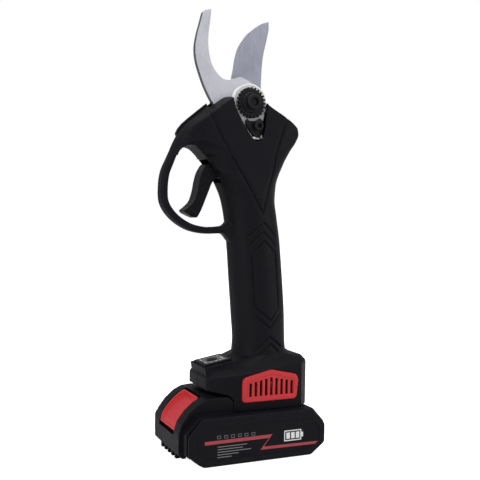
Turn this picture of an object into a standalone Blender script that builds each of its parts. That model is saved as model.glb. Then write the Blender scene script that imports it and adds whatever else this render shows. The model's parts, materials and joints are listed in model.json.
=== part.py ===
"""Cordless battery pruner, modelled as an assembly of separate pieces.

Frame: origin at the centre of the battery's flat underside, +Z up through the handle, -X towards the
trigger, -Y towards the side with the adjusting nut. The pieces are drawn and cut in millimetres,
where Boolean cuts are most exact, and to_metres() brings the finished assembly to metres.
"""
import bpy
import bmesh
from math import cos, hypot, pi, radians, sin
from mathutils import Matrix, Vector

MM = 0.001
GAP = 0.3                       # clearance between touching pieces

# ---------------------------------------------------------------- driving dimensions
PIVOT_X, PIVOT_Z = 0.5, 239.5   # blade pivot
LEAN = radians(5.0)             # the handle leans forward from the battery's normal
WALL = 2.3                      # shell wall

# battery
CELL_R, CELL_LEN, CELL_PITCH, CELL_COUNT = 9.1, 65.0, 18.7, 5
CELL_X0, CELL_Z = -36.6, 13.6
CHEEK_HALF_LEN, CHEEK_IN, CHEEK_OUT = 49.8, 33.0, 36.0
CASE_HALF_LEN, CASE_HALF_WIDTH, CASE_TOP = 50.5, 32.7, 31.5
HUMP_HALF_WIDTH, HUMP_TOP, HUMP_FRONT = 25.0, 41.8, -53.0
BASE_SPLIT = 4.0                # top of the base plate
RAIL_FRONT, RAIL_REAR, RAIL_TOP = -14.0, 30.0, 41.5
RAIL_NECK, RAIL_HEAD, RAIL_STEP = 16.0, 20.0, 36.8
BUTTON_HALF_WIDTH = 14.7
RELEASE_TRAVEL = 2.5
RELEASE_DIR = Vector((0.75, 0.0, -0.66)).normalized()

# foot of the handle
FOOT_HALF_WIDTH, FOOT_BOTTOM = 27.0, 32.0
FOOT_FRONT, FOOT_REAR = -31.0, 42.5
FOOT_STEP_X = -14.3             # ahead of this the foot is raised over the battery's hump

# blades (each a flat plate between two values of y)
HOOK_Y = (-6.4, -2.4)
BLADE_Y = (-2.1, 1.9)
PLATE_Y = (-11.0, -6.7)
SECTOR_Y = (6.0, 9.4)
CASTING_Y = (10.0, 11.6)
BOLT_R = 3.9

# drive train, measured down the handle's axis from the pivot
SECTOR_SCREWS = (-64.0, -120.0)   # degrees round the pivot
SECTOR_PITCH = 7.2              # degrees a tooth: 50 teeth to the full turn, on a pinion with 10
PINION_S = (19.6, 27.5)
GEARBOX_S = (31.0, 62.0)
GEARBOX_R = 12.4
MOTOR_S = (64.0, 108.0)
MOTOR_R = 14.0
BOARD_S = (114.0, 160.0)

TRIGGER_PIVOT = (-17.5, 196.5)
SLOT_HALF_WIDTH = 6.8
TRIGGER_HALF_WIDTH = 6.0

# the shells' screws, x, z and reach in y: the grip is rounder than the head, so its posts are shorter
SCREW_POSTS = [(-40.5, 216.5, 15.2), (31.0, 218.5, 15.2), (21.5, 125.0, 11.6), (23.5, 86.0, 11.6)]

COLLECTION = "battery_pruner"

MATERIALS = {
    "black_plastic": ((0.018, 0.018, 0.022), 0.55, 0.0),
    "dark_plastic": ((0.011, 0.011, 0.013), 0.5, 0.0),
    "red_plastic": ((0.55, 0.035, 0.04), 0.42, 0.0),
    "gloss_panel": ((0.01, 0.01, 0.012), 0.15, 0.0),
    "blade_steel": ((0.5, 0.53, 0.57), 0.32, 1.0),
    "tool_steel": ((0.36, 0.36, 0.42), 0.36, 1.0),
    "black_oxide": ((0.02, 0.02, 0.022), 0.38, 1.0),
    "cast_aluminium": ((0.8, 0.81, 0.83), 0.4, 1.0),
    "bright_steel": ((0.55, 0.55, 0.57), 0.25, 1.0),
    "gear_steel": ((0.3, 0.3, 0.31), 0.35, 1.0),
    "copper": ((0.7, 0.3, 0.16), 0.35, 1.0),
    "circuit_board": ((0.02, 0.16, 0.06), 0.5, 0.0),
    "cell_wrap": ((0.05, 0.3, 0.45), 0.4, 0.0),
    "brass": ((0.7, 0.5, 0.2), 0.3, 1.0),
}


# ---------------------------------------------------------------- helpers
def reset_scene():
    for obj in list(bpy.data.objects):
        bpy.data.objects.remove(obj, do_unlink=True)
    for name in (COLLECTION, "cutters"):
        coll = bpy.data.collections.new(name)
        bpy.context.scene.collection.children.link(coll)
    bpy.data.collections["cutters"].hide_render = True


def material(name):
    if name in bpy.data.materials:
        return bpy.data.materials[name]
    colour, roughness, metallic = MATERIALS[name]
    mat = bpy.data.materials.new(name)
    mat.use_nodes = True
    shader = mat.node_tree.nodes["Principled BSDF"]
    shader.inputs["Base Color"].default_value = (*colour, 1.0)
    shader.inputs["Roughness"].default_value = roughness
    shader.inputs["Metallic"].default_value = metallic
    return mat


def as_object(name, bm, mat=None, at=(0, 0, 0), turn=None, smooth=30):
    """Makes an object. A piece with a material is a part, any other is a cutter or a piece to be
    joined. `at` and `turn` place it."""
    bmesh.ops.recalc_face_normals(bm, faces=bm.faces)
    mesh = bpy.data.meshes.new(name)
    bm.to_mesh(mesh)
    bm.free()
    mesh.shade_smooth()
    mesh.set_sharp_from_angle(angle=radians(smooth))
    obj = bpy.data.objects.new(name, mesh)
    obj.matrix_world = Matrix.Translation(Vector(at)) @ (turn or Matrix.Identity(4))
    if mat:
        obj.data.materials.append(material(mat))
        bpy.data.collections[COLLECTION].objects.link(obj)
    else:
        bpy.data.collections["cutters"].objects.link(obj)
        obj.display_type = "WIRE"
        obj.hide_render = True
    return obj


# pieces on which the exact solver leaves an open edge
MANIFOLD_PIECES = ("left_shell", "right_shell", "battery_case")


def boolean(obj, other, operation):
    mod = obj.modifiers.new(other.name, "BOOLEAN")
    mod.operation = operation
    mod.solver = "MANIFOLD" if obj.name in MANIFOLD_PIECES else "EXACT"
    mod.object = other


def cut(obj, *cutters):
    for cutter in cutters:
        boolean(obj, cutter, "DIFFERENCE")
    return obj


def join(obj, *extras):
    for extra in extras:
        boolean(obj, extra, "UNION")
    return obj


def box(name, low, high, mat=None, bevel=0.0, **place):
    bm = bmesh.new()
    bmesh.ops.create_cube(bm, size=1.0)
    size = [b - a for a, b in zip(low, high)]
    centre = [(a + b) / 2 for a, b in zip(low, high)]
    bmesh.ops.scale(bm, vec=size, verts=bm.verts)
    bmesh.ops.translate(bm, vec=centre, verts=bm.verts)
    if bevel:
        bmesh.ops.bevel(bm, geom=bm.edges, offset=bevel, segments=1, affect="EDGES")
    return as_object(name, bm, mat, **place)


ALONG = {"X": Matrix.Rotation(pi / 2, 4, "Y"), "Y": Matrix.Rotation(-pi / 2, 4, "X"), "Z": Matrix.Identity(4)}


def rod(name, radius, low, high, centre, mat=None, along="Y", sides=28, **place):
    """A cylinder from low to high on an axis."""
    bm = bmesh.new()
    bmesh.ops.create_cone(bm, cap_ends=True, segments=sides, radius1=radius, radius2=radius, depth=high - low)
    bmesh.ops.translate(bm, vec=(0, 0, (low + high) / 2), verts=bm.verts)
    bmesh.ops.transform(bm, matrix=ALONG[along], verts=bm.verts)
    bmesh.ops.translate(bm, vec=centre, verts=bm.verts)
    return as_object(name, bm, mat, **place)


def outline(name, points, low, high, mat=None, bevel=0.0, along="Y", **place):
    """A flat outline given to length. Along Y its points are (x, z); along Z they are (x, y)."""
    curve = bpy.data.curves.new(name, "CURVE")
    curve.dimensions = "2D"
    curve.fill_mode = "BOTH"
    curve.extrude = (high - low) / 2
    spline = curve.splines.new("POLY")
    spline.points.add(len(points) - 1)
    for point, (u, v) in zip(spline.points, points):
        point.co = (u, v, 0, 1)
    spline.use_cyclic_u = True
    source = bpy.data.objects.new(name + "_outline", curve)
    bpy.context.scene.collection.objects.link(source)
    mesh = bpy.data.meshes.new_from_object(source.evaluated_get(bpy.context.evaluated_depsgraph_get()))
    bpy.data.objects.remove(source)
    bm = bmesh.new()
    bm.from_mesh(mesh)
    bpy.data.meshes.remove(mesh)
    bmesh.ops.remove_doubles(bm, verts=bm.verts, dist=0.001)
    bmesh.ops.dissolve_limit(bm, angle_limit=radians(0.5), verts=bm.verts, edges=bm.edges)
    bmesh.ops.translate(bm, vec=(0, 0, (low + high) / 2), verts=bm.verts)
    if along == "Y":
        bmesh.ops.transform(bm, matrix=Matrix(((1, 0, 0, 0), (0, 0, 1, 0), (0, 1, 0, 0), (0, 0, 0, 1))),
                            verts=bm.verts)
    if bevel:
        axis = 1 if along == "Y" else 2
        rim = [e for e in bm.edges if abs(e.verts[0].co[axis] - e.verts[1].co[axis]) < 0.01]
        bmesh.ops.bevel(bm, geom=rim, offset=bevel, segments=1, affect="EDGES")
    return as_object(name, bm, mat, **place)


def turned(name, profile, mat, along="Z", steps=32, at=(0, 0, 0), turn=None):
    """A solid turned from a closed (radius, height) profile whose outer side runs from top to bottom."""
    bm = bmesh.new()
    verts = [bm.verts.new((radius, 0, height)) for radius, height in profile]
    for first, second in zip(verts, verts[1:] + verts[:1]):
        bm.edges.new((first, second))
    place = (turn or Matrix.Identity(4)) @ ALONG[along]
    obj = as_object(name, bm, mat, at=at, turn=place)
    screw = obj.modifiers.new("turned", "SCREW")
    screw.angle = 2 * pi
    screw.steps = steps
    screw.render_steps = steps
    screw.use_merge_vertices = True
    screw.merge_threshold = 0.0001
    return obj


def loft(name, rings, mat=None):
    """A closed solid through rings of equal length, capped at both ends."""
    bm = bmesh.new()
    rows = [[bm.verts.new(point) for point in ring] for ring in rings]
    count = len(rows[0])
    for lower, upper in zip(rows, rows[1:]):
        for i in range(count):
            j = (i + 1) % count
            bm.faces.new((lower[i], lower[j], upper[j], upper[i]))
    bm.faces.new(rows[0])
    bm.faces.new(rows[-1])
    return as_object(name, bm, mat)


def arc(centre, radius, start, end, count):
    """Points on an arc, angles in degrees measured from +u towards +v."""
    angles = [radians(start + (end - start) * i / (count - 1)) for i in range(count)]
    return [(centre[0] + radius * cos(a), centre[1] + radius * sin(a)) for a in angles]


def smooth_path(points, steps, closed=False):
    """Catmull-Rom curve through points, with `steps` pieces between neighbours."""
    pts = [Vector(p) for p in points]
    if closed:
        pts = [pts[-1]] + pts + [pts[0], pts[1]]
    else:
        pts = [2 * pts[0] - pts[1]] + pts + [2 * pts[-1] - pts[-2]]
    out = []
    for p0, p1, p2, p3 in zip(pts, pts[1:], pts[2:], pts[3:]):
        for k in range(steps):
            t = k / steps
            out.append(0.5 * (2 * p1 + (p2 - p0) * t + (2 * p0 - 5 * p1 + 4 * p2 - p3) * t * t
                              + (3 * p1 - p0 - 3 * p2 + p3) * t ** 3))
    if not closed:
        out.append(pts[-2])
    return [tuple(p) for p in out]


def ribbon(path, width):
    """Outline of a band of the given width along an open path."""
    left, right = [], []
    for i, (x, z) in enumerate(path):
        a, b = path[max(i - 1, 0)], path[min(i + 1, len(path) - 1)]
        length = hypot(b[0] - a[0], b[1] - a[1])
        nx, nz = -(b[1] - a[1]) / length, (b[0] - a[0]) / length
        left.append((x + nx * width / 2, z + nz * width / 2))
        right.append((x - nx * width / 2, z - nz * width / 2))
    return left + right[::-1]


def gear_outline(teeth, root, tip, centre=(0, 0), phase=0.0):
    """Straight-flanked teeth between a root and a tip radius."""
    points = []
    for i in range(teeth):
        for radius, share in ((root, -0.30), (tip, -0.16), (tip, 0.16), (root, 0.30)):
            angle = 2 * pi * (i + share) / teeth + phase
            points.append((centre[0] + radius * cos(angle), centre[1] + radius * sin(angle)))
    return points


def hexagon(radius, centre=(0, 0)):
    return arc(centre, radius, 0, 300, 6)


def axis_frame(s=0.0, y=0.0):
    """Place on the handle's axis, s millimetres below the pivot; its local +Z runs up the handle."""
    at = (PIVOT_X + s * sin(LEAN), y, PIVOT_Z - s * cos(LEAN))
    return {"at": at, "turn": Matrix.Rotation(-LEAN, 4, "Y")}


# ---------------------------------------------------------------- handle shells
# Level (z), front and back of the profile, half thickness, depth of the rounded front and back edges
HORN_BOTTOM = 208.3
LEVELS = [
    (243.0, -20.0, 12.0, 15.5, 6.0), (238.0, -26.0, 18.0, 16.2, 6.0), (232.0, -32.6, 28.5, 16.8, 6.0),
    (227.0, -38.6, 37.0, 17.0, 6.0), (224.0, -42.0, 40.2, 17.0, 6.5), (220.0, -45.6, 41.0, 17.0, 7.0),
    (215.0, -48.8, 39.2, 17.0, 7.0), (HORN_BOTTOM, -52.2, 35.0, 17.0, 8.0), (207.5, -39.0, 34.5, 17.0, 9.0),
    (200.5, -31.6, 30.6, 17.0, 11.0), (192.0, -23.5, 27.0, 17.2, 13.0), (184.0, -18.8, 24.8, 17.4, 16.0),
    (174.0, -14.7, 24.2, 17.6, 18.0), (163.0, -12.2, 25.6, 17.8, 18.8), (146.0, -9.8, 28.2, 18.0, 18.9),
    (120.0, -7.6, 30.8, 18.2, 19.1), (92.0, -5.2, 32.9, 18.4, 19.0), (74.0, -3.7, 33.4, 18.6, 18.5),
    (58.0, -2.6, 33.6, 18.8, 18.0),
]


def half_section(z, front, back, half, depth, inset=0.0, y_end=0.0, steps=6):
    """One shell's section at a level: rounded front edge, flat side, rounded back edge, flat seam."""
    front, back, half = front + inset, back - inset, half - inset
    depth = min(max(depth - inset, 1.0), (back - front) / 2)
    ring = [(front, y_end, z)]
    turns = [(pi / 2) * (i + 1) / steps for i in range(steps)]
    ring += [(front + depth * (1 - cos(t)), -half * sin(t), z) for t in turns]
    ring += [(back - depth * (1 - cos(t)), -half * sin(t), z) for t in reversed(turns)]
    ring.append((back, y_end, z))
    return ring


def inner_levels():
    """The levels again for the hollow: closed near the top, and with a floor in the guard's horn."""
    levels = [(min(z, LEVELS[0][0] - WALL), *rest) for z, *rest in LEVELS[:1] + LEVELS[2:]]
    horn = LEVELS.index(next(level for level in LEVELS if level[0] == HORN_BOTTOM)) - 1
    levels[horn] = (HORN_BOTTOM + WALL, *LEVELS[horn + 1][1:])
    levels[horn + 1] = (HORN_BOTTOM + WALL - 0.4, *LEVELS[horn + 2][1:])
    return levels


def foot_plan(inset=0.0, y_end=0.0):
    half = FOOT_HALF_WIDTH - inset
    front, rear = FOOT_FRONT + inset, FOOT_REAR - inset
    return [(front, y_end), (front, -15.5 + inset * 0.6), (front + 2.5, -18.6 + inset * 0.7),
            (front + 12.0, -24.0 + inset * 0.9), (-9.0, -half), (12.0, -half), (35.5 - inset * 0.4, -half),
            (rear, -20.0 + inset * 0.4), (rear, y_end)]


def foot_crease(x):
    """Height of the edge where the foot's side turns into its sloping top."""
    return 57.3 + 0.12 * x


def mirrored(obj):
    """Moves a piece modelled on the -Y side over to the +Y side."""
    obj.data.transform(Matrix.Scale(-1, 4, (0, 1, 0)))
    obj.data.flip_normals()
    return obj


def shell_blank(name, side, mat="black_plastic"):
    """Half of the housing as a closed tub: head and grip joined to the foot, then hollowed. The far half
    has a raised boss over the drive's sector."""
    side_of = mirrored if side > 0 else (lambda obj: obj)
    body = side_of(loft(name, [half_section(*level) for level in LEVELS], mat))
    crest = [(x * 0.93 + 0.5, y * 0.82, foot_crease(x) + 3.4) for x, y in foot_plan()]
    root = [(x, y, 66.5 + 0.03 * x) for x, y, _ in
            (half_section(0, -5.5, 36.5, 20.5, 19.0, steps=2))]
    root = [root[i] for i in (0, 1, 2, 2, 3, 3, 4, 4, 5)]
    foot = side_of(loft(name + "_foot", [
        [(x, y, FOOT_BOTTOM) for x, y in foot_plan()],
        [(x, y, foot_crease(x)) for x, y in foot_plan()],
        crest,
        root,
    ]))
    join(body, foot)
    low, high = sorted((0.0, side * 14.0))
    pad_line = [(-10.8, low), (12.6, low), (12.6, high), (-10.8, high)]
    join(body, outline(name + "_pad", pad_line, -6.0, 0.6, along="Z", **panel_frame()))
    if side > 0:
        crown = arc((PIVOT_X, PIVOT_Z), 17.0, 20, 160, 12) + [(-26.0, 230.0), (28.0, 229.0)]
        join(body, outline(name + "_boss", crown, 2.6, 16.6, bevel=1.4))
    hollow = [half_section(*level, inset=WALL, y_end=5.0, steps=4) for level in inner_levels()]
    cut(body, side_of(loft(name + "_hollow", hollow)))
    cut(body, side_of(loft(name + "_foot_hollow", [
        [(max(x, FOOT_STEP_X + WALL), y, 36.3) for x, y in foot_plan(WALL, 5.0)],
        [(max(x, FOOT_STEP_X + WALL), y, foot_crease(x) - 1.6) for x, y in foot_plan(WALL, 5.0)],
    ])))
    cut(body, side_of(box(name + "_nose_hollow", (FOOT_FRONT + 2.6, -14.0, 48.6), (-11.0, 5.0, 53.4))))
    cut(body, outline(name + "_raised_front", [
        (-45, 25), (FOOT_STEP_X, 25), (FOOT_STEP_X, 39.4), (-17.2, 42.3), (FOOT_FRONT - 1, 45.7),
        (-45, 46.0)], -40, 40))
    cut(body, box(name + "_rail_door", (-20, -RAIL_HEAD - 0.5, RAIL_STEP - 0.5),
                  (-11, RAIL_HEAD + 0.5, 42.1)))
    cut(body, box(name + "_rail_slot", (-20, -RAIL_NECK - 0.4, 25), (RAIL_REAR + 4, RAIL_NECK + 0.4, 38)))
    return body


def slit_cutter(name):
    """Opening in the top of the head for the hook, the moving blade and its swing."""
    return outline(name, [(-27.3, 226.0), (-27.3, 262.0), (22.0, 262.0), (19.5, 228.0), (0.0, 216.0)],
                   HOOK_Y[0] - 0.4, BLADE_Y[1] + 0.5)


def build_shells():
    near = shell_blank("left_shell", -1)
    far = shell_blank("right_shell", 1)
    slot = smooth_path([(-15.5, 252.0), (-12.6, 236.5), (-9.0, 228.7), (-2.9, 219.0), (0.3, 215.0),
                        (4.2, 213.2), (7.8, 215.4), (9.6, 221.2), (11.0, 230.0), (12.4, 240.0),
                        (13.5, 252.0)], 2)
    cut(near, outline("near_window", slot, -30, -11.9))
    cut(near, outline("near_top_window", [(-12.9, 236.5), (-9.3, 228.4), (10.9, 228.4), (14.2, 234.0),
                                          (14.4, 252.0), (-15.3, 252.0)], -12.5, HOOK_Y[0]))
    cut(far, rod("far_boss_hollow", 15.4, -1.0, 14.7, (PIVOT_X, 0, PIVOT_Z), sides=32))
    for shell in (near, far):
        tag = shell.name
        cut(shell, slit_cutter(tag + "_slit"))
        cut(shell, outline(tag + "_trigger_slot", [
            (-45.0, 196.0), (-30.0, 199.8), (-20.0, 203.5), (-11.5, 203.5), (-11.5, 184.6), (-28.0, 184.6)],
            -SLOT_HALF_WIDTH, SLOT_HALF_WIDTH))
        cut(shell, box(tag + "_guard_top_pocket", (-50.3, -2.8, 204), (-46.0, 2.8, 213)))
        cut(shell, box(tag + "_guard_low_pocket", (-18.0, -2.8, 151.0), (-7.2, 2.8, 155.2)))
        cut(shell, box(tag + "_panel_seat", (-9.7, -10.9, -1.5), (11.2, 10.9, 6.0), **panel_frame()))
        cut(shell, box(tag + "_panel_well", (-8.0, -8.0, -9.0), (8.0, 8.0, 0.0), **panel_frame()))
    cut(near, vent_outline("near_vent_seat", -40, -FOOT_HALF_WIDTH + 1.3, 0.3))
    cut(near, vent_outline("near_vent_opening", -40, -20, -2.2))
    cut(far, vent_outline("far_vent_seat", FOOT_HALF_WIDTH - 1.3, 40, 0.3))
    cut(far, vent_outline("far_vent_opening", 20, 40, -2.2))
    for i, (x, z, reach) in enumerate(SCREW_POSTS):
        join(far, rod(f"far_post_{i}", 3.2, 0.2, reach, (x, 0, z), sides=12))
        join(near, rod(f"near_post_{i}", 3.2, -reach, -0.2, (x, 0, z), sides=12))
        cut(far, rod(f"far_screw_way_{i}", 1.8, -1, 30, (x, 0, z), sides=12),
            rod(f"far_screw_sink_{i}", 3.0, reach - 3.2, 30, (x, 0, z), sides=12))
        cut(near, rod(f"near_screw_way_{i}", 1.8, -reach + 4.0, 1, (x, 0, z), sides=12))
        screw = rod(f"shell_screw_{i + 1}", 1.45, -reach + 4.6, reach - 2.8, (x, 0, z), "bright_steel",
                    sides=12)
        join(screw, rod(f"shell_screw_head_{i}", 2.65, reach - 2.9, reach - 0.8, (x, 0, z), sides=12))
        cut(screw, outline(f"shell_screw_socket_{i}", hexagon(1.3, (x, z)), reach - 2.0, 18))
    return near, far


def panel_frame():
    """Place of the display panel on the foot's sloping front top; local +Z is its outward normal."""
    return {"at": (-20.3, 0.0, 61.0), "turn": Matrix.Rotation(-radians(10.0), 4, "Y")}


def build_display():
    bezel = box("display_bezel", (-9.4, -10.6, -1.2), (10.9, 10.6, 2.0), "dark_plastic", 0.5,
                **panel_frame())
    cut(bezel, box("bezel_recess", (-7.7, -8.9, 1.2), (9.2, 8.9, 5.0), **panel_frame()))
    cut(bezel, rod("bezel_bore", 3.9, -5, 5, (0, 0, 0), along="Z", **panel_frame()))
    window = box("display_window", (-7.4, -8.6, 1.5), (8.9, 8.6, 2.2), "gloss_panel", **panel_frame())
    cut(window, rod("window_bore", 3.9, -5, 5, (0, 0, 0), along="Z", **panel_frame()))
    rod("power_button", 3.5, -1.6, 2.5, (0, 0, 0), "dark_plastic", along="Z", **panel_frame())
    box("display_board", (-7.6, -7.6, -4.4), (7.6, 7.6, -3.2), "circuit_board", **panel_frame())


# ---------------------------------------------------------------- vents
def vent_outline(name, low, high, grow=0.0, mat=None, bevel=0.0):
    """Six-sided grille outline with its peak a little behind the middle."""
    g = grow
    return outline(name, [(-8.2 - g, 37.6 - g), (29.6 + g * 0.6, 37.6 - g), (31.6 + g, 39.4 - g * 0.4),
                          (32.4 + g, 51.6 + g * 0.6), (30.6 + g, 54.6 + g), (12.0, 58.6 + g),
                          (-7.6 - g, 54.4 + g), (-9.4 - g, 52.2 + g * 0.6), (-9.6 - g, 39.2 - g * 0.4)],
                   low, high, mat, bevel)


def build_vents():
    for name, low, high in (("left_vent_grille", -28.2, -26.0), ("right_vent_grille", 26.0, 28.2)):
        grille = vent_outline(name, low, high, 0.0, "red_plastic", 0.5)
        for i in range(9):
            x = -3.4 + 3.87 * i
            top = 50.2 + 3.2 * (1 - abs(x - 12.0) / 16.0)
            cut(grille, box(f"{name}_slot_{i}", (x - 0.8, low - 1, 41.4), (x + 0.8, high + 1, top)))


# ---------------------------------------------------------------- guard and trigger
GUARD_PATH = [(-49.3, 206.6), (-51.5, 200.5), (-54.3, 193.5), (-56.8, 187.0), (-58.0, 180.0), (-57.3, 172.0),
              (-54.6, 165.0), (-50.0, 159.0), (-44.0, 154.9), (-37.0, 152.6), (-30.0, 151.8), (-22.0, 152.2),
              (-11.6, 153.2)]


def build_guard():
    guard = outline("trigger_guard", ribbon(smooth_path(GUARD_PATH, 3), 4.6), -5.2, 5.2, "black_plastic", 1.0)
    join(guard, box("guard_top_tongue", (-50.0, -2.5, 206.8), (-46.3, 2.5, 212.5)))
    join(guard, box("guard_low_tongue", (-14.0, -2.5, 151.4), (-7.6, 2.5, 154.9)))


def build_trigger():
    px, pz = TRIGGER_PIVOT
    front = smooth_path([(-29.4, 196.0), (-31.6, 189.0), (-32.8, 182.0), (-34.0, 175.0), (-37.0, 169.6),
                         (-42.5, 165.4)], 3)
    back = smooth_path([(-34.0, 160.9), (-30.6, 167.8), (-27.0, 176.0), (-24.6, 182.0), (-22.0, 187.0)], 2)
    points = front + [(-41.2, 163.6), (-37.6, 161.6)] + back + [(-14.6, 189.0), (-13.2, 192.0)]
    points += arc((px, pz), 4.4, -10, 130, 7) + [(-26.0, 198.0)]
    trigger = outline("trigger", points, -TRIGGER_HALF_WIDTH, TRIGGER_HALF_WIDTH, "dark_plastic", 0.9)
    cut(trigger, rod("trigger_bore", 2.3, -10, 10, (px, 0, pz)))
    cut(trigger, rod("magnet_pocket", 1.8, 2.0, 10, (-16.2, 0, 191.2), sides=16))
    cut(trigger, rod("trigger_spring_pocket", 2.7, -4.5, 9.0, (-18.0, 0, 190.0), along="X", sides=16))
    rod("trigger_pin", 2.0, -12.4, 12.4, (px, 0, pz), "bright_steel")
    rod("trigger_magnet", 1.5, 2.3, 5.9, (-16.2, 0, 191.2), "bright_steel", sides=16)


def coil(name, centre, radius, wire, length, turns, along, mat="bright_steel"):
    """A compression spring as a helix of wire along an axis through its centre."""
    curve = bpy.data.curves.new(name, "CURVE")
    curve.dimensions = "3D"
    curve.bevel_depth = wire / 2
    curve.bevel_resolution = 0
    curve.use_fill_caps = True
    count = turns * 8 + 1
    spline = curve.splines.new("POLY")
    spline.points.add(count - 1)
    for i, point in enumerate(spline.points):
        t = i / (count - 1)
        angle = 2 * pi * turns * t
        local = Vector((radius * cos(angle), radius * sin(angle), (t - 0.5) * length))
        point.co = (*(ALONG[along].to_3x3() @ local + Vector(centre)), 1)
    source = bpy.data.objects.new(name + "_path", curve)
    bpy.context.scene.collection.objects.link(source)
    mesh = bpy.data.meshes.new_from_object(source.evaluated_get(bpy.context.evaluated_depsgraph_get()))
    bpy.data.objects.remove(source)
    bm = bmesh.new()
    bm.from_mesh(mesh)
    bpy.data.meshes.remove(mesh)
    bmesh.ops.remove_doubles(bm, verts=bm.verts, dist=0.0005)
    return as_object(name, bm, mat)


# ---------------------------------------------------------------- cutting head
def dowel_place():
    """The dowel that stops the hook from turning on its plate."""
    return PIVOT_X + 9.6 * cos(radians(225)), PIVOT_Z + 9.6 * sin(radians(225))


def build_hook():
    outer = smooth_path([(-33.0, 298.6), (-34.9, 291.0), (-37.0, 283.0), (-38.2, 274.5), (-37.3, 266.0),
                         (-34.4, 257.0), (-30.6, 248.0), (-25.4, 239.0), (-18.0, 230.0)], 2)
    inner = smooth_path([(-12.9, 255.0), (-16.5, 255.0), (-20.2, 256.9), (-23.6, 260.4), (-26.2, 264.6),
                         (-27.8, 270.0), (-28.9, 277.0), (-28.8, 285.0), (-27.8, 293.0), (-27.0, 301.3)], 2)
    hub = smooth_path([(-8.0, 222.6), (-1.9, 222.3), (5.2, 224.2), (10.0, 228.8), (12.8, 234.6),
                       (13.4, 240.5), (12.8, 245.6), (8.8, 251.0), (4.5, 253.9), (-0.9, 256.6),
                       (-5.1, 257.5), (-9.3, 256.2)], 2)
    points = [(-28.6, 301.0), (-31.4, 300.2)] + outer + hub + inner
    hook = outline("hook_blade", points, *HOOK_Y, "blade_steel", 0.35)
    cut(hook, rod("hook_bore", BOLT_R + GAP, -20, 20, (PIVOT_X, 0, PIVOT_Z)))
    x, z = dowel_place()
    cut(hook, rod("hook_dowel_hole", 1.8, -20, 20, (x, 0, z), sides=16))
    rod("hook_dowel", 1.5, PLATE_Y[0] + 1.2, HOOK_Y[1] - 0.2, (x, 0, z), "bright_steel", sides=16)


def build_moving_blade():
    edge = smooth_path([(-11.0, 252.0), (-9.9, 258.0), (-8.8, 264.0), (-7.9, 270.0), (-6.0, 277.0),
                        (-3.0, 282.6), (1.0, 288.0), (4.4, 291.2), (8.4, 294.4), (12.6, 297.2),
                        (18.2, 299.4)], 2)
    spine = smooth_path([(18.4, 294.0), (16.8, 286.0), (14.9, 278.0), (13.7, 270.0), (13.2, 262.0),
                         (13.0, 255.0), (12.9, 250.0)], 2)
    hub = arc((PIVOT_X, PIVOT_Z), 14.4, 30, -210, 16)
    blade = outline("moving_blade", edge + spine + hub, *BLADE_Y, "tool_steel", 0.3)
    cut(blade, rod("blade_bore", 6.3, -20, 20, (PIVOT_X, 0, PIVOT_Z)))
    turned("pivot_bushing", [(4.25, 9.6), (6.0, 9.6), (6.0, -2.0), (4.25, -2.0)], "brass", "Y",
           at=(PIVOT_X, 0, PIVOT_Z))
    sector_teeth()
    for i, angle in enumerate(SECTOR_SCREWS):
        x, z = PIVOT_X + 10.6 * cos(radians(angle)), PIVOT_Z + 10.6 * sin(radians(angle))
        cut(blade, rod(f"blade_screw_hole_{i}", 1.8, -20, 20, (x, 0, z), sides=16))
        screw = rod(f"sector_screw_{i + 1}", 1.5, BLADE_Y[0] + 0.4, 8.4, (x, 0, z), "bright_steel", sides=16)
        join(screw, rod(f"sector_screw_head_{i}", 2.6, 8.3, 9.3, (x, 0, z), sides=16))


def sector_teeth():
    """Bevel sector that turns the moving blade: a plate with a raised, toothed rim."""
    centre = (PIVOT_X, PIVOT_Z)
    points = arc(centre, 26.0, -149, -75.2, 9) + arc(centre, 9.0, -34, 170, 10)
    sector = outline("bevel_sector", points, *SECTOR_Y, "gear_steel")
    join(sector, rod("sector_spacer", 9.0, BLADE_Y[1] + 0.3, SECTOR_Y[0] + 0.1, (centre[0], 0, centre[1])))
    for i in range(10):
        angle = radians(-142.6 + SECTOR_PITCH * i)
        turn = Matrix.Rotation(-angle, 4, "Y")
        at = (centre[0], 0, centre[1])
        join(sector, outline(f"sector_tooth_{i}", [(19.6, -0.35), (25.8, -0.65), (25.8, 0.65), (19.6, 0.35)],
                             5.2, SECTOR_Y[0] + 0.1, at=at, turn=turn))
    cut(sector, rod("sector_bore", 6.3, -20, 20, (centre[0], 0, centre[1])))
    for i, angle in enumerate(SECTOR_SCREWS):
        x, z = centre[0] + 10.6 * cos(radians(angle)), centre[1] + 10.6 * sin(radians(angle))
        cut(sector, rod(f"sector_screw_hole_{i}", 1.8, -20, 20, (x, 0, z), sides=16),
            rod(f"sector_screw_sink_{i}", 2.9, 7.9, 20, (x, 0, z), sides=16))


def build_head_plate():
    """White cast plate round the adjusting nut: a disc that tapers down to the lock screw."""
    disc = arc((0.5, 240.2), 12.9, 205, -25, 20)
    points = disc + [(11.6, 231.0), (9.8, 226.0), (8.6, 219.6)] + arc((5.3, 218.6), 3.4, 0, -180, 6)
    points += [(-2.6, 222.6), (-6.4, 228.4)]
    plate = outline("head_plate", points, *PLATE_Y, "cast_aluminium", 0.5)
    cut(plate, rod("plate_bore", BOLT_R + GAP, -20, 20, (PIVOT_X, 0, PIVOT_Z)))
    cut(plate, rod("lock_screw_thread", 1.85, -20, 20, (5.1, 0, 223.9), sides=16))
    x, z = dowel_place()
    cut(plate, rod("plate_dowel_hole", 1.8, -10.0, 20, (x, 0, z), sides=16))


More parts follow.
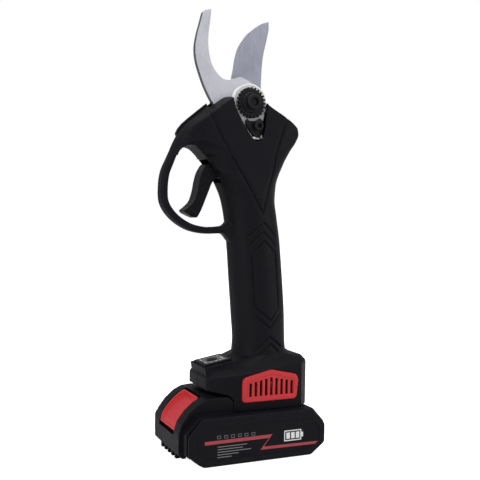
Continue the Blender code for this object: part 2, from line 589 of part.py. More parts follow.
def build_pivot():
    bolt = rod("pivot_bolt", BOLT_R, -17.6, 11.9, (PIVOT_X, 0, PIVOT_Z), "bright_steel")
    join(bolt, outline("pivot_bolt_head", hexagon(7.0, (PIVOT_X, PIVOT_Z)), 11.8, 14.2))
    nut = outline("adjusting_nut", gear_outline(24, 9.2, 10.6, (PIVOT_X, PIVOT_Z)), -14.3, -11.3,
                  "black_oxide")
    join(nut, rod("nut_step", 6.9, -15.9, -14.2, (PIVOT_X, 0, PIVOT_Z)))
    join(nut, rod("nut_hub", 5.0, -19.2, -15.8, (PIVOT_X, 0, PIVOT_Z)))
    cut(nut, rod("nut_bore", BOLT_R + 0.35, -18.1, 0, (PIVOT_X, 0, PIVOT_Z)))
    lock = outline("nut_lock", [(-2.4, 228.4), (-0.8, 226.6), (1.2, 227.4), (2.6, 226.8), (4.6, 227.8),
                                (7.4, 229.2), (9.2, 226.6), (9.6, 222.0), (8.6, 218.6), (5.4, 216.4),
                                (2.6, 217.2), (0.6, 219.4), (-1.4, 222.0), (-3.4, 225.2)],
                   -14.1, -11.3, "black_oxide")
    cut(lock, rod("lock_screw_bore", 1.95, -20, 20, (5.1, 0, 223.9), sides=16))
    screw = rod("lock_screw", 1.6, -14.6, -7.4, (5.1, 0, 223.9), "black_oxide", sides=16)
    join(screw, rod("lock_screw_head", 3.3, -17.6, -14.4, (5.1, 0, 223.9), sides=24))
    cut(screw, outline("lock_screw_socket", hexagon(1.9, (5.1, 223.9)), -20, -15.4))


def build_gear_case():
    """Far side of the head casting, with the collar that carries the gearbox."""
    face = arc((PIVOT_X, PIVOT_Z), 14.2, 215, -35, 16)
    face += [(13.5, 222.0), (12.0, 211.0), (-7.0, 210.2), (-12.5, 222.0)]
    case = outline("gear_case", face, *CASTING_Y, "cast_aluminium")
    collar = rod("gearbox_collar", 13.3, -30.8, -28.4, (0, 0, 0), along="Z", **axis_frame())
    join(case, collar)
    cut(case, rod("case_bore", BOLT_R + GAP, -20, 20, (PIVOT_X, 0, PIVOT_Z)))
    cut(case, rod("collar_bore", 6.4, -40, -20, (0, 0, 0), along="Z", **axis_frame()))


# ---------------------------------------------------------------- drive train
def build_drive():
    frame = axis_frame()
    gearbox = rod("gearbox_housing", GEARBOX_R, -GEARBOX_S[1], -GEARBOX_S[0], (0, 0, 0), "gear_steel",
                  along="Z", **frame)
    cut(gearbox, rod("gearbox_cavity", 10.4, -GEARBOX_S[1] - 1, -35.0, (0, 0, 0), along="Z", **frame))
    cut(gearbox, rod("gearbox_nose_bore", 6.4, -40, -20, (0, 0, 0), along="Z", **frame))
    turned("output_bearing", [(3.3, -31.4), (6.1, -31.4), (6.1, -34.6), (3.3, -34.6)], "bright_steel",
           **frame)
    pinion = rod("bevel_pinion", 3.0, -38.6, -PINION_S[0], (0, 0, 0), "gear_steel", along="Z", **frame)
    join(pinion, outline("pinion_teeth", gear_outline(10, 3.4, 5.3), -PINION_S[1], -PINION_S[0] - 0.4,
                         along="Z", **frame))
    carrier = rod("planet_carrier", 9.8, -42.4, -39.6, (0, 0, 0), "gear_steel", along="Z", **frame)
    join(carrier, rod("carrier_boss", 5.0, -39.7, -35.6, (0, 0, 0), along="Z", **frame))
    cut(carrier, rod("carrier_bore", 3.3, -42.0, -30, (0, 0, 0), along="Z", **frame))
    for i in range(3):
        angle = 2 * pi * i / 3
        x, y = 5.6 * cos(angle), 5.6 * sin(angle)
        join(carrier, rod(f"planet_pin_{i}", 1.2, -52.0, -42.3, (x, y, 0), along="Z", sides=16, **frame))
        place = dict(frame)
        centre = Vector(frame["at"]) + frame["turn"].to_3x3() @ Vector((x, y, -47.2))
        place["at"] = tuple(centre)
        planet = outline(f"planet_gear_{i + 1}", gear_outline(12, 2.8, 3.4), -4.0, 4.0, "gear_steel",
                         along="Z", **place)
        cut(planet, rod(f"planet_bore_{i}", 1.5, -10, 10, (0, 0, 0), along="Z", sides=16, **place))
    ring = rod("ring_gear", 10.1, -51.6, -43.0, (0, 0, 0), "gear_steel", along="Z", **frame)
    cut(ring, outline("ring_gear_teeth", gear_outline(32, 9.25, 9.8), -60, -40, along="Z", **frame))
    motor = rod("motor_can", MOTOR_R, -MOTOR_S[1], -MOTOR_S[0], (0, 0, 0), "black_oxide", along="Z",
                **frame)
    cut(motor, rod("motor_cavity", 12.9, -MOTOR_S[1] + 2.6, -MOTOR_S[0] - 2.4, (0, 0, 0), along="Z", **frame))
    cut(motor, rod("motor_bore", 2.3, -130, -50, (0, 0, 0), along="Z", sides=20, **frame))
    for i in range(6):
        angle = 2 * pi * i / 6
        cut(motor, box(f"motor_vent_{i}", (8.0, -2.2, -130), (11.5, 2.2, -MOTOR_S[1] + 5), at=frame["at"],
                       turn=frame["turn"] @ Matrix.Rotation(angle, 4, "Z")))
    stator = outline("motor_stator", arc((0, 0), 12.6, 0, 345, 24), -98.0, -74.0, "copper", along="Z",
                     **frame)
    cut(stator, rod("stator_bore", 7.6, -120, -60, (0, 0, 0), along="Z", **frame))
    rotor = rod("motor_rotor", 7.1, -97.0, -75.0, (0, 0, 0), "gear_steel", along="Z", **frame)
    join(rotor, rod("motor_shaft", 1.9, -111.0, -52.6, (0, 0, 0), along="Z", sides=20, **frame))
    join(rotor, outline("sun_gear", gear_outline(8, 1.5, 1.85), -52.7, -43.4, along="Z", **frame))


def build_electronics():
    frame = axis_frame()
    board = box("control_board", (-0.8, -12.5, -BOARD_S[1]), (0.8, 12.5, -BOARD_S[0]), "circuit_board",
                **frame)
    rod("supply_capacitor", 5.0, -150.4, -132.4, (6.2, 0, 0), "gloss_panel", along="Z", sides=24, **frame)
    for i in range(6):
        y, z = -7.5 + 7.5 * (i % 3), -120.0 - 8.0 * (i // 3)
        join(board, box(f"power_switch_{i}", (-3.2, y - 2.6, z - 3.0), (-0.7, y + 2.6, z + 3.0), **frame))
    box("trigger_sensor_board", (-12.0, -6.0, 181.0), (-10.6, 6.0, 194.0), "circuit_board")
    coil("trigger_spring", (-15.4, 0.0, 190.0), 2.0, 0.5, 5.4, 5, "X")


# ---------------------------------------------------------------- terminals in the foot
def build_terminals():
    block = box("terminal_block", (31.0, -14.0, 42.2), (39.6, 14.0, 51.0), "dark_plastic", 0.4)
    for i, y in enumerate((-9.0, 9.0)):
        cut(block, box(f"terminal_way_{i}", (20, y - 0.8, 42.9), (45, y + 0.8, 46.6)))
        blade = box(f"terminal_blade_{i + 1}", (30.6, y - 0.5, 43.2), (39.4, y + 0.5, 46.3), "brass")
        join(blade, box(f"terminal_tip_{i}", (20.5, y - 0.5, 38.6), (30.7, y + 0.5, 46.3)))


# ---------------------------------------------------------------- battery
def octagon(half, top, top_cut, low_cut, bottom=0.0):
    """Battery profile in x and z: a bar with bevelled ends. Each cut is (along x, along z)."""
    (tx, tz), (lx, lz) = top_cut, low_cut
    return [(-half + lx, bottom), (half - lx, bottom), (half, bottom + lz), (half, top - tz),
            (half - tx, top), (-half + tx, top), (-half, top - tz), (-half, bottom + lz)]


CHEEK = dict(half=CHEEK_HALF_LEN, top=CASE_TOP, top_cut=(9.7, 10.9), low_cut=(10.5, 7.7))
CASE = dict(half=CASE_HALF_LEN, top=CASE_TOP + 0.2, top_cut=(9.4, 10.4), low_cut=(10.6, 7.8))


def build_battery():
    hump_line = [(-14.7, 38.6), (-17.6, 41.4), (-27.0, HUMP_TOP), (-34.0, 41.2), (-39.6, 38.6),
                 (-46.0, 33.2), (-51.0, 26.6), (HUMP_FRONT, 20.0), (HUMP_FRONT, 7.0),
                 (-50.4, BASE_SPLIT + GAP), (-14.7, BASE_SPLIT + GAP)]
    case = outline("battery_case", octagon(**CASE), -CASE_HALF_WIDTH, CASE_HALF_WIDTH, "black_plastic")
    hump = outline("battery_hump", hump_line, -HUMP_HALF_WIDTH, HUMP_HALF_WIDTH)
    bevel = bmesh.new()
    bevel.from_mesh(hump.data)
    edges = [e for e in bevel.edges if all(abs(v.co.y) > HUMP_HALF_WIDTH - 0.1 and v.co.z > 6.5
                                           for v in e.verts)]
    bmesh.ops.bevel(bevel, geom=edges, offset=3.6, segments=2, affect="EDGES", clamp_overlap=True)
    bevel.to_mesh(hump.data)
    bevel.free()
    join(case, hump)
    rail = box("rail_neck", (RAIL_FRONT - 1, -RAIL_NECK, 30.0), (RAIL_REAR, RAIL_NECK, RAIL_TOP))
    head = box("rail_head", (RAIL_FRONT - 1, -RAIL_HEAD, RAIL_STEP), (RAIL_REAR, RAIL_HEAD, RAIL_TOP))
    join(case, rail, head)
    cut(case, box("base_split", (-60, -40, -5), (60, 40, BASE_SPLIT + GAP)))
    for i in range(5):
        y = -14.0 + 7.0 * i
        join(case, box(f"chin_rib_{i}", (-51.4, y - 1.5, 1.8), (-46.4, y + 1.5, 6.6)))
    cut(case, outline("cell_tunnel", [(-47.7, 2.0), (48.2, 2.0), (48.2, 20.8), (41.6, 28.4), (-41.0, 28.4),
                                      (-47.7, 20.8)], -40, 40))
    cut(case, outline("hump_hollow", [(-16.5, 24.0), (-16.5, 37.6), (-36.5, 37.6), (-38.8, 35.6),
                                      (-44.0, 31.0), (-47.6, 26.2), (-47.6, 24.0)], -20.5, 20.5))
    cut(case, box("latch_slot", (-26.2, -6.5, 30.0), (-19.8, 6.5, 50.0)))
    cut(case, button_outline("button_opening", 0.35, BUTTON_HALF_WIDTH + 0.35, through=True))
    for i, y in enumerate((-9.0, 9.0)):
        cut(case, box(f"terminal_slot_{i}", (19.5, y - 1.0, 33.5), (40, y + 1.0, 50)))
    build_battery_base()
    for side, name in ((-1, "left_cheek"), (1, "right_cheek")):
        low, high = sorted((side * CHEEK_IN, side * CHEEK_OUT))
        cheek = outline(name, octagon(**CHEEK), low, high, "black_plastic", 0.9)
        low, high = sorted((side * (CHEEK_OUT - 0.8), side * (CHEEK_OUT + 1.0)))
        recess_line = octagon(45.6, 25.6, (7.0, 7.6), (8.2, 6.4), 3.0)
        cut(cheek, outline(name + "_label_recess", recess_line, low, high))
    for i in range(CELL_COUNT):
        rod(f"cell_{i + 1}", CELL_R, -CELL_LEN / 2, CELL_LEN / 2, (CELL_X0 + CELL_PITCH * i, 0, CELL_Z),
            "cell_wrap", sides=28)
    box("battery_board", (-14.0, -28.0, 25.2), (41.0, 28.0, 26.8), "circuit_board")
    build_release()


def build_battery_base():
    base = outline("battery_base", octagon(**CASE), -CASE_HALF_WIDTH, CASE_HALF_WIDTH, "black_plastic")
    cut(base, box("base_top_off", (-60, -40, BASE_SPLIT), (60, 40, 60)))
    cut(base, box("base_pocket", (-36.0, -29.5, 2.2), (38.0, 29.5, 10.0)))


def button_outline(name, grow=0.0, half=BUTTON_HALF_WIDTH, mat=None, through=False):
    """Curved slab that follows the hump's front slope; the opening also runs on inwards and down."""
    outer = [(-35.2, 40.9), (-39.9, 37.9), (-46.2, 32.4), (-50.9, 26.2), (-52.7, 20.0)]
    inner = [(-49.4, 19.2), (-47.4, 24.6), (-43.2, 30.0), (-38.0, 34.4), (-33.6, 37.0)]
    if through:
        outer = [(-34.2, 44.0), (-38.0, 44.0), (-49.0, 38.0), (-56.0, 28.0), (-56.0, 17.4)]
        inner = [(-47.0, 17.4), (-44.4, 24.0), (-40.0, 28.0), (-35.0, 31.0), (-32.4, 33.0), (-32.4, 40.0)]
    return outline(name, outer + inner, -half, half, mat, 0.0 if through else 0.5)


def build_release():
    button = button_outline("release_button", mat="red_plastic")
    scoop_line = [(-38.0, 44.0), (-38.4, 37.6), (-43.0, 33.4), (-48.0, 27.6), (-50.6, 21.6), (-60.0, 21.6),
                  (-60.0, 44.0)]
    scoop = outline("button_scoop", scoop_line, -12.4, 12.4)
    cut(button, scoop)
    outline("release_latch", [(-32.9, 29.5), (-31.0, 29.5), (-31.0, 34.8), (-22.4, 34.8), (-22.4, 41.5),
                              (-25.4, 40.0), (-25.4, 37.1), (-32.9, 37.1)], -6.0, 6.0, "bright_steel")
    coil("release_spring", (-26.6, 0.0, 31.6), 2.6, 0.6, 6.0, 5, "X")


# ---------------------------------------------------------------- assembly
def turning_centres():
    """Pieces drawn in place that turn about a pin: each gets its origin on that pin's axis."""
    pivot = Vector((PIVOT_X, 0.0, PIVOT_Z))
    pin = Vector((TRIGGER_PIVOT[0], 0.0, TRIGGER_PIVOT[1]))
    centres = {name: pivot for name in ("moving_blade", "bevel_sector", "sector_screw_1", "sector_screw_2")}
    centres.update({name: pin for name in ("trigger", "trigger_magnet")})
    return centres


def to_metres():
    """Settles every cut and brings the pieces from millimetres to metres."""
    centres = turning_centres()
    depsgraph = bpy.context.evaluated_depsgraph_get()
    parts = list(bpy.data.collections[COLLECTION].objects)
    finished = [bpy.data.meshes.new_from_object(obj.evaluated_get(depsgraph)) for obj in parts]
    for obj, mesh in zip(parts, finished):
        obj.modifiers.clear()
        mesh.name = obj.name
        centre = centres.get(obj.name, Vector())
        mesh.transform(Matrix.Scale(MM, 4) @ Matrix.Translation(-centre))
        obj.data = mesh
        obj.location = (obj.location + centre) * MM
        mesh.shade_smooth()
        mesh.set_sharp_from_angle(angle=radians(30))
    for cutter in list(bpy.data.collections["cutters"].objects):
        bpy.data.objects.remove(cutter, do_unlink=True)


def main():
    reset_scene()
    build_shells()
    build_display()
    build_vents()
    build_guard()
    build_trigger()
    build_head_plate()
    build_hook()
    build_moving_blade()
    build_pivot()
    build_gear_case()
    build_drive()
    build_electronics()
    build_terminals()
    build_battery()
    to_metres()


main()
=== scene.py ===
"""Cordless battery pruner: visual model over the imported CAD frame.

The frame is the CAD's: origin at the centre of the battery's flat underside, +Z up the handle, -X towards
the trigger, -Y towards the side with the adjusting nut. Pieces are shaped in millimetres and settled in
metres.
"""
import json
from math import cos, hypot, pi, radians, sin

import bmesh
import bpy
import numpy as np
from mathutils import Matrix, Vector

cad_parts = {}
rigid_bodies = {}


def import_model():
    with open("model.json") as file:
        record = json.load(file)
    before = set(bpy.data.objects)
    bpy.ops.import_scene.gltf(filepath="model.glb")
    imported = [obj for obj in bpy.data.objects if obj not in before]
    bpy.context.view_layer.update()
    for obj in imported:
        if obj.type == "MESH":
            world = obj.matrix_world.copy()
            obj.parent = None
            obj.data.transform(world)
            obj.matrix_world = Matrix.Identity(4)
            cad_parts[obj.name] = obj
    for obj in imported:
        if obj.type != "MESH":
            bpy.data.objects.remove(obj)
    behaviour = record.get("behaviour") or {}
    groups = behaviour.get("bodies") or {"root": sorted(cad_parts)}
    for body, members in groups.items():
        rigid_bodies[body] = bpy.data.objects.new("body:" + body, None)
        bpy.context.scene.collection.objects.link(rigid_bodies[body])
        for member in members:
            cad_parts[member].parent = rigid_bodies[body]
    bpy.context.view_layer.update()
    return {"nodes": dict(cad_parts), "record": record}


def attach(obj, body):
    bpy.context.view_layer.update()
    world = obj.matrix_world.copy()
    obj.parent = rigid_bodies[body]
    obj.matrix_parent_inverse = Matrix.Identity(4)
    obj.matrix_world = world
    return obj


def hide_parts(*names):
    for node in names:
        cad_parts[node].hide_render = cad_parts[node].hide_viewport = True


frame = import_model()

MM = 0.001
SCENE = bpy.context.scene
PIVOT = (0.5, 0, 239.5)
WALL = 2.3
WORK = bpy.data.collections.new("work")
SCENE.collection.children.link(WORK)


# ---------------------------------------------------------------- materials
def add_node(tree, kind, inputs=None, **settings):
    """A node with its settings; each input is linked to the socket given for it, or set to the value."""
    node = tree.nodes.new("ShaderNode" + kind)
    for key, value in settings.items():
        setattr(node, key, value)
    fill(tree, node, inputs or {})
    return node


def fill(tree, node, inputs):
    for key, value in inputs.items():
        socket = node.inputs[key]
        if isinstance(value, bpy.types.NodeSocket):
            tree.links.new(value, socket)
        else:
            socket.default_value = (*value, 1) if socket.type == "RGBA" else value


class Nodes:
    """A material with its node tree and a few shortcuts for building it."""

    def __init__(self, name):
        self.mat = bpy.data.materials.new(name)
        self.mat.use_nodes = True
        self.tree = self.mat.node_tree
        self.shader = self.tree.nodes["Principled BSDF"]
        self.coords = self.add("TexCoord").outputs["Object"]

    def add(self, kind, inputs=None, **settings):
        return add_node(self.tree, kind, inputs, **settings)

    def stretched(self, scale):
        """Object coordinates scaled unevenly, for grain that runs one way."""
        return self.add("Mapping", {"Scale": scale, "Vector": self.coords}).outputs["Vector"]

    def noise(self, scale, detail=3.0, rough=0.5, vector=None, distortion=0.0):
        return self.add("TexNoise", {"Scale": scale, "Detail": detail, "Roughness": rough,
            "Distortion": distortion, "Vector": vector or self.coords}).outputs["Fac"]

    def voronoi(self, scale):
        return self.add("TexVoronoi", {"Scale": scale, "Vector": self.coords}).outputs["Distance"]

    def spread(self, value, low, high, start=0.3, end=0.7):
        """Maps a value from start..end onto low..high."""
        return self.add("MapRange", {"From Min": start, "From Max": end, "To Min": low, "To Max": high,
            "Value": value}).outputs["Result"]

    def mix(self, factor, first, second):
        return self.add("Mix", {"Factor": factor, 6: first, 7: second}, data_type="RGBA").outputs[2]

    def maths(self, operation, first, second):
        return self.add("Math", {0: first, 1: second}, operation=operation).outputs["Value"]

    def rounded_normal(self, radius):
        return self.add("Bevel", {"Radius": radius}, samples=4).outputs["Normal"]

    def edge(self, radius):
        """1 on sharp edges, falling to 0 a little way in from them."""
        inputs = {0: self.rounded_normal(radius), 1: self.add("NewGeometry").outputs["Normal"]}
        facing = self.add("VectorMath", inputs, operation="DOT_PRODUCT")
        return self.spread(facing.outputs["Value"], 1.0, 0.0, 0.75, 0.985)

    def finish(self, colour, roughness, bumps, radius=0.00035, metallic=0.0, specular=0.5, coat=0.0):
        """Wires the shader up. bumps are (height, strength, distance) from the coarsest to the finest."""
        normal = self.rounded_normal(radius)
        for height, strength, distance in bumps:
            bump = self.add("Bump", {"Strength": strength, "Distance": distance, "Height": height,
                "Normal": normal})
            normal = bump.outputs["Normal"]
        fill(self.tree, self.shader, {"Base Color": colour, "Roughness": roughness, "Metallic": metallic,
            "Specular IOR Level": specular, "Coat Weight": coat, "Coat Roughness": 0.12, "Normal": normal})
        return self.mat


def lighter(colour, gain, offset=0.0):
    return tuple(min(1.0, c * gain + offset) for c in colour)


def plastic(name, colour, worn, rough=(0.42, 0.56), grain=2600.0, depth=0.00004, radius=0.0004,
        specular=0.115, coat=0.0):
    """Moulded plastic: fine spark grain, faint flow clouding, dust and rubbed edges."""
    n = Nodes(name)
    cloud = n.noise(28.0, 4.0, 0.55)
    dust = n.spread(n.noise(grain * 0.45, 2.0, 0.6), 0.0, 0.35, 0.5, 0.8)
    tone = n.mix(n.spread(cloud, 0.0, 1.0), colour, lighter(colour, 1.3, 0.0006))
    tone = n.mix(dust, tone, lighter(colour, 1.6, 0.0025))
    rubbed = n.maths("MULTIPLY", n.edge(0.0007), n.spread(n.noise(160.0, 5.0, 0.65), 0.15, 0.8))
    tone = n.mix(rubbed, tone, worn)
    scuff = n.noise(1.0, 4.0, 0.7, n.stretched((140, 140, 900)))
    gloss = n.maths("ADD", n.spread(cloud, *rough), n.spread(scuff, -0.04, 0.05))
    bumps = [(n.noise(grain, 2.0, 0.5), 0.35, depth), (n.voronoi(grain * 0.6), 0.2, depth)]
    return n.finish(tone, gloss, bumps, radius, specular=specular, coat=coat)


def metal(name, colour, dark, rough, along, streak=0.25, depth=0.00002, metallic=1.0, stain=None, rim=None):
    """Ground or machined metal: fine lines along one direction, cloudy tone and brighter edges. `rim` is
    the colour painted on the side faces round a plate that lies across Y, as painted shade."""
    n = Nodes(name)
    lines = n.noise(1.0, 6.0, 0.65, n.stretched(along))
    wide = n.noise(1.0, 3.0, 0.5, n.stretched(tuple(a * 0.22 for a in along)))
    tone = n.mix(n.spread(lines, 0.0, 1.0, 0.3, 0.7), dark, colour)
    cloud = n.spread(n.noise(45.0, 5.0, 0.6), 0.0, streak, 0.35, 0.75)
    tone = n.mix(cloud, tone, lighter(dark, 0.82))
    if stain:
        patches = n.noise(90.0, 6.0, 0.7, distortion=0.6)
        tone = n.mix(n.spread(patches, 0.0, 0.55, 0.6, 0.8), tone, stain)
    tone = n.mix(n.maths("MULTIPLY", n.edge(0.0005), 0.6), tone, lighter(colour, 1.25))
    # painted shade: faces that do not face along Y take the darker rim colour, standing in for the shade on
    # the plate's sides
    if rim:
        axes = n.add("SeparateXYZ", {0: n.add("NewGeometry").outputs["True Normal"]})
        side_shade_mask = n.spread(n.maths("ABSOLUTE", axes.outputs["Y"], 0.0), 1.0, 0.0, 0.4, 0.6)
        tone = n.mix(side_shade_mask, tone, rim)
    gloss = n.maths("ADD", n.spread(wide, *rough), n.spread(lines, -0.05, 0.05))
    return n.finish(tone, gloss, [(wide, 0.12, depth * 2), (lines, 0.3, depth)], 0.0003, metallic=metallic)


def circuit_board():
    """Solder mask with copper traces showing through it as brick-like runs."""
    n = Nodes("board_mask")
    traces = n.add("TexBrick", {
        "Scale": 260.0, "Mortar Size": 0.03, "Color1": (0.015, 0.12, 0.045), "Color2": (0.02, 0.15, 0.06),
        "Mortar": (0.03, 0.24, 0.10), "Vector": n.coords})
    tone = n.mix(n.spread(n.noise(300.0), 0.0, 0.4), traces.outputs["Color"], (0.02, 0.09, 0.04))
    return n.finish(tone, n.spread(n.noise(120.0), 0.3, 0.45), [(traces.outputs["Fac"], 0.3, 0.00003)],
        0.0002)


def print_ink(name, colour, speckle=0.25):
    """Screen-printed ink, broken up slightly where the grain shows through."""
    n = Nodes(name)
    gaps = n.spread(n.noise(3200.0, 2.0, 0.6), 0.0, speckle, 0.5, 0.8)
    tone = n.mix(gaps, colour, lighter(colour, 0.35))
    tone = n.mix(n.spread(n.noise(60.0), 0.0, 0.25), tone, lighter(colour, 0.8))
    return n.finish(tone, n.spread(n.noise(200.0), 0.4, 0.55), [(n.noise(3000.0), 0.2, 0.00002)], 0.00005)


# the material of each slot: the visual pieces and the pieces kept from the CAD both take it from here
SLOT_MATERIALS = {
    "black_plastic": plastic("black_moulding", (0.0036, 0.0033, 0.0054), (0.032, 0.032, 0.037)),
    "dark_plastic": plastic("satin_black", (0.0032, 0.0030, 0.0045), (0.028, 0.028, 0.032), (0.34, 0.46),
        1800.0, 0.00002),
    "red_plastic": plastic("red_moulding", (0.50, 0.024, 0.03), (0.66, 0.10, 0.11), (0.34, 0.48), 2200.0,
        0.00003, specular=0.3),
    "gloss_panel": plastic("gloss_panel", (0.006, 0.006, 0.008), (0.03, 0.03, 0.035), (0.08, 0.16), 1200.0,
        0.000006, 0.0002, 0.5, 0.3),
    "black_oxide": plastic("black_oxide", (0.005, 0.005, 0.006), (0.035, 0.035, 0.038), (0.30, 0.42), 1500.0,
        0.00001, 0.0003, 0.2),
    "cast_aluminium": plastic("white_casting", (0.86, 0.86, 0.88), (0.95, 0.95, 0.96), (0.4, 0.55), 900.0,
        0.00006, specular=0.4),
    "cell_wrap": plastic("cell_wrap", (0.03, 0.22, 0.36), (0.1, 0.4, 0.55), (0.3, 0.42), 500.0, 0.00002),
    "circuit_board": circuit_board(),
    # the hook's rim colour is painted shade that darkens its side faces
    "blade_steel": metal("ground_steel", (0.70, 0.70, 0.745), (0.58, 0.58, 0.63), (0.40, 0.54),
        (900, 900, 420), 0.3, metallic=0.7, stain=(0.50, 0.48, 0.46), rim=(0.13, 0.13, 0.14)),
    "tool_steel": metal("brushed_steel", (0.47, 0.475, 0.555), (0.33, 0.335, 0.41), (0.36, 0.46),
        (2200, 2200, 60), 0.6, 0.00001, 0.85, (0.56, 0.56, 0.63)),
    "bright_steel": metal("plated_steel", (0.62, 0.62, 0.64), (0.48, 0.48, 0.5), (0.18, 0.3),
        (1800, 300, 1800), 0.2),
    "gear_steel": metal("machined_steel", (0.40, 0.40, 0.42), (0.26, 0.26, 0.27), (0.3, 0.44),
        (300, 300, 2200), 0.3),
    "copper": metal("enamelled_copper", (0.75, 0.33, 0.17), (0.45, 0.17, 0.08), (0.25, 0.4),
        (500, 500, 5000), 0.2),
    "brass": metal("brass_stock", (0.75, 0.53, 0.22), (0.55, 0.38, 0.14), (0.25, 0.4), (900, 200, 900), 0.2),
}
# a bright white material for the small dabs set below the locking piece
WHITE_DAB_MATERIAL = plastic("white_dab", (0.75, 0.75, 0.76), (0.9, 0.9, 0.9), (0.2, 0.3), 900.0, 0.00005, 0.0002, 0.5)
INK_RED = print_ink("stripe_ink", (0.37, 0.04, 0.052))
INK_WHITE = print_ink("white_ink", (0.78, 0.78, 0.78))
INK_GREY = print_ink("grey_ink", (0.16, 0.16, 0.165), 0.6)
INK_PINK = print_ink("ring_ink", (0.16, 0.05, 0.05))


# ---------------------------------------------------------------- shaping helpers
def raw(name, bm, place=None):
    """A working object in millimetres, which settle() finishes or a Boolean uses up."""
    bmesh.ops.recalc_face_normals(bm, faces=bm.faces)
    mesh = bpy.data.meshes.new(name)
    bm.to_mesh(mesh)
    bm.free()
    obj = bpy.data.objects.new("work_" + name, mesh)
    obj.matrix_world = place or Matrix.Identity(4)
    WORK.objects.link(obj)
    return obj


def cut(obj, other, solver="MANIFOLD", operation="DIFFERENCE"):
    mod = obj.modifiers.new(other.name, "BOOLEAN")
    mod.operation = operation
    mod.solver = solver
    mod.object = other


def join(obj, other, solver="MANIFOLD"):
    cut(obj, other, solver, "UNION")


def box(name, low, high, bevel=0.0, place=None, segments=3):
    bm = bmesh.new()
    bmesh.ops.create_cube(bm, size=1.0)
    bmesh.ops.scale(bm, vec=[b - a for a, b in zip(low, high)], verts=bm.verts)
    bmesh.ops.translate(bm, vec=[(a + b) / 2 for a, b in zip(low, high)], verts=bm.verts)
    if bevel:
        bmesh.ops.bevel(bm, geom=bm.edges, offset=bevel, segments=segments, profile=0.5, affect="EDGES")
    return raw(name, bm, place)


ALONG = {"X": Matrix.Rotation(pi / 2, 4, "Y"), "Y": Matrix.Rotation(-pi / 2, 4, "X"), "Z": Matrix.Identity(4)}


def turned(name, profile, centre=(0, 0, 0), along="Y", steps=64, place=None):
    """A solid of revolution from (radius, height) points, from its low end on the axis to its high end."""
    bm = bmesh.new()
    rings = []
    for radius, height in profile:
        if radius < 1e-6:
            rings.append([bm.verts.new((0, 0, height))] * steps)
        else:
            rings.append([bm.verts.new((radius * cos(a), radius * sin(a), height))
                for a in (2 * pi * i / steps for i in range(steps))])
    for lower, upper in zip(rings, rings[1:]):
        for i in range(steps):
            j = (i + 1) % steps
            corners = list(dict.fromkeys((lower[i], lower[j], upper[j], upper[i])))
            if len(corners) > 2:
                bm.faces.new(corners)
    bmesh.ops.transform(bm, matrix=ALONG[along], verts=bm.verts)
    bmesh.ops.translate(bm, vec=centre, verts=bm.verts)
    return raw(name, bm, place)


def rod(name, radius, low, high, centre=(0, 0, 0), along="Y", edge=0.0, steps=48, place=None):
    """A cylinder with rounded rims."""
    profile = [(0, low)]
    if edge:
        profile += [(radius - edge * (1 - sin(t)), low + edge * (1 - cos(t))) for t in (0, pi / 4, pi / 2)]
        profile += [(radius - edge * (1 - cos(t)), high - edge * (1 - sin(t))) for t in (0, pi / 4, pi / 2)]
    else:
        profile += [(radius, low), (radius, high)]
    return turned(name, profile + [(0, high)], centre, along, steps, place)


def outline(name, points, low, high, bevel=0.0, along="Y", place=None, segments=3):
    """A flat outline given to length. Along Y its points are (x, z); along Z they are (x, y)."""
    bm = bmesh.new()
    at = (lambda u, v, w: (u, w, v)) if along == "Y" else (lambda u, v, w: (u, v, w))
    lower = [bm.verts.new(at(u, v, low)) for u, v in points]
    upper = [bm.verts.new(at(u, v, high)) for u, v in points]
    caps = [bm.faces.new(lower), bm.faces.new(upper)]
    for i in range(len(points)):
        j = (i + 1) % len(points)
        bm.faces.new((lower[i], lower[j], upper[j], upper[i]))
    rims = [edge for cap in caps for edge in cap.edges]
    if bevel:
        bmesh.ops.bevel(bm, geom=rims, offset=bevel, segments=segments, profile=0.5, affect="EDGES",
            clamp_overlap=True)
    bm.normal_update()
    bmesh.ops.triangulate(bm, faces=[f for f in bm.faces if len(f.verts) > 4])
    return raw(name, bm, place)


def loft(name, rings):
    """A closed solid through rings of equal length."""
    bm = bmesh.new()
    rows = [[bm.verts.new(point) for point in ring] for ring in rings]
    for lower, upper in zip(rows, rows[1:]):
        for i in range(len(lower)):
            j = (i + 1) % len(lower)
            bm.faces.new((lower[i], lower[j], upper[j], upper[i]))
    ends = [bm.faces.new(rows[0]), bm.faces.new(rows[-1])]
    bm.normal_update()
    bmesh.ops.triangulate(bm, faces=ends)
    return raw(name, bm)


def arc(centre, radius, start, end, count):
    """Points on an arc, angles in degrees measured from +u towards +v."""
    angles = [radians(start + (end - start) * i / (count - 1)) for i in range(count)]
    return [(centre[0] + radius * cos(a), centre[1] + radius * sin(a)) for a in angles]


def smooth_path(points, steps):
    """Catmull-Rom curve through points, with `steps` pieces between neighbours."""
    pts = [Vector(p) for p in points]
    pts = [2 * pts[0] - pts[1]] + pts + [2 * pts[-1] - pts[-2]]
    out = []
    for p0, p1, p2, p3 in zip(pts, pts[1:], pts[2:], pts[3:]):
        for k in range(steps):
            t = k / steps
            square, cube = 2 * p0 - 5 * p1 + 4 * p2 - p3, 3 * p1 - p0 - 3 * p2 + p3
            out.append(0.5 * (2 * p1 + (p2 - p0) * t + square * t * t + cube * t ** 3))
    return [tuple(p) for p in out + [pts[-2]]]


def with_normals(path):
    """Each point of an (x, z) path with the unit normal on its right-hand side."""
    for i, (x, z) in enumerate(path):
        a, b = path[max(i - 1, 0)], path[min(i + 1, len(path) - 1)]
        length = hypot(b[0] - a[0], b[1] - a[1])
        yield x, z, (b[1] - a[1]) / length, -(b[0] - a[0]) / length


def sweep(name, path, section):
    """A closed section of (outward, y) points carried along an (x, z) path. `section` gets the share of
    the way along."""
    rings = []
    for i, (x, z, out_x, out_z) in enumerate(with_normals(path)):
        rings.append([(x + out_x * r, y, z + out_z * r) for r, y in section(i / (len(path) - 1))])
    return loft(name, rings)


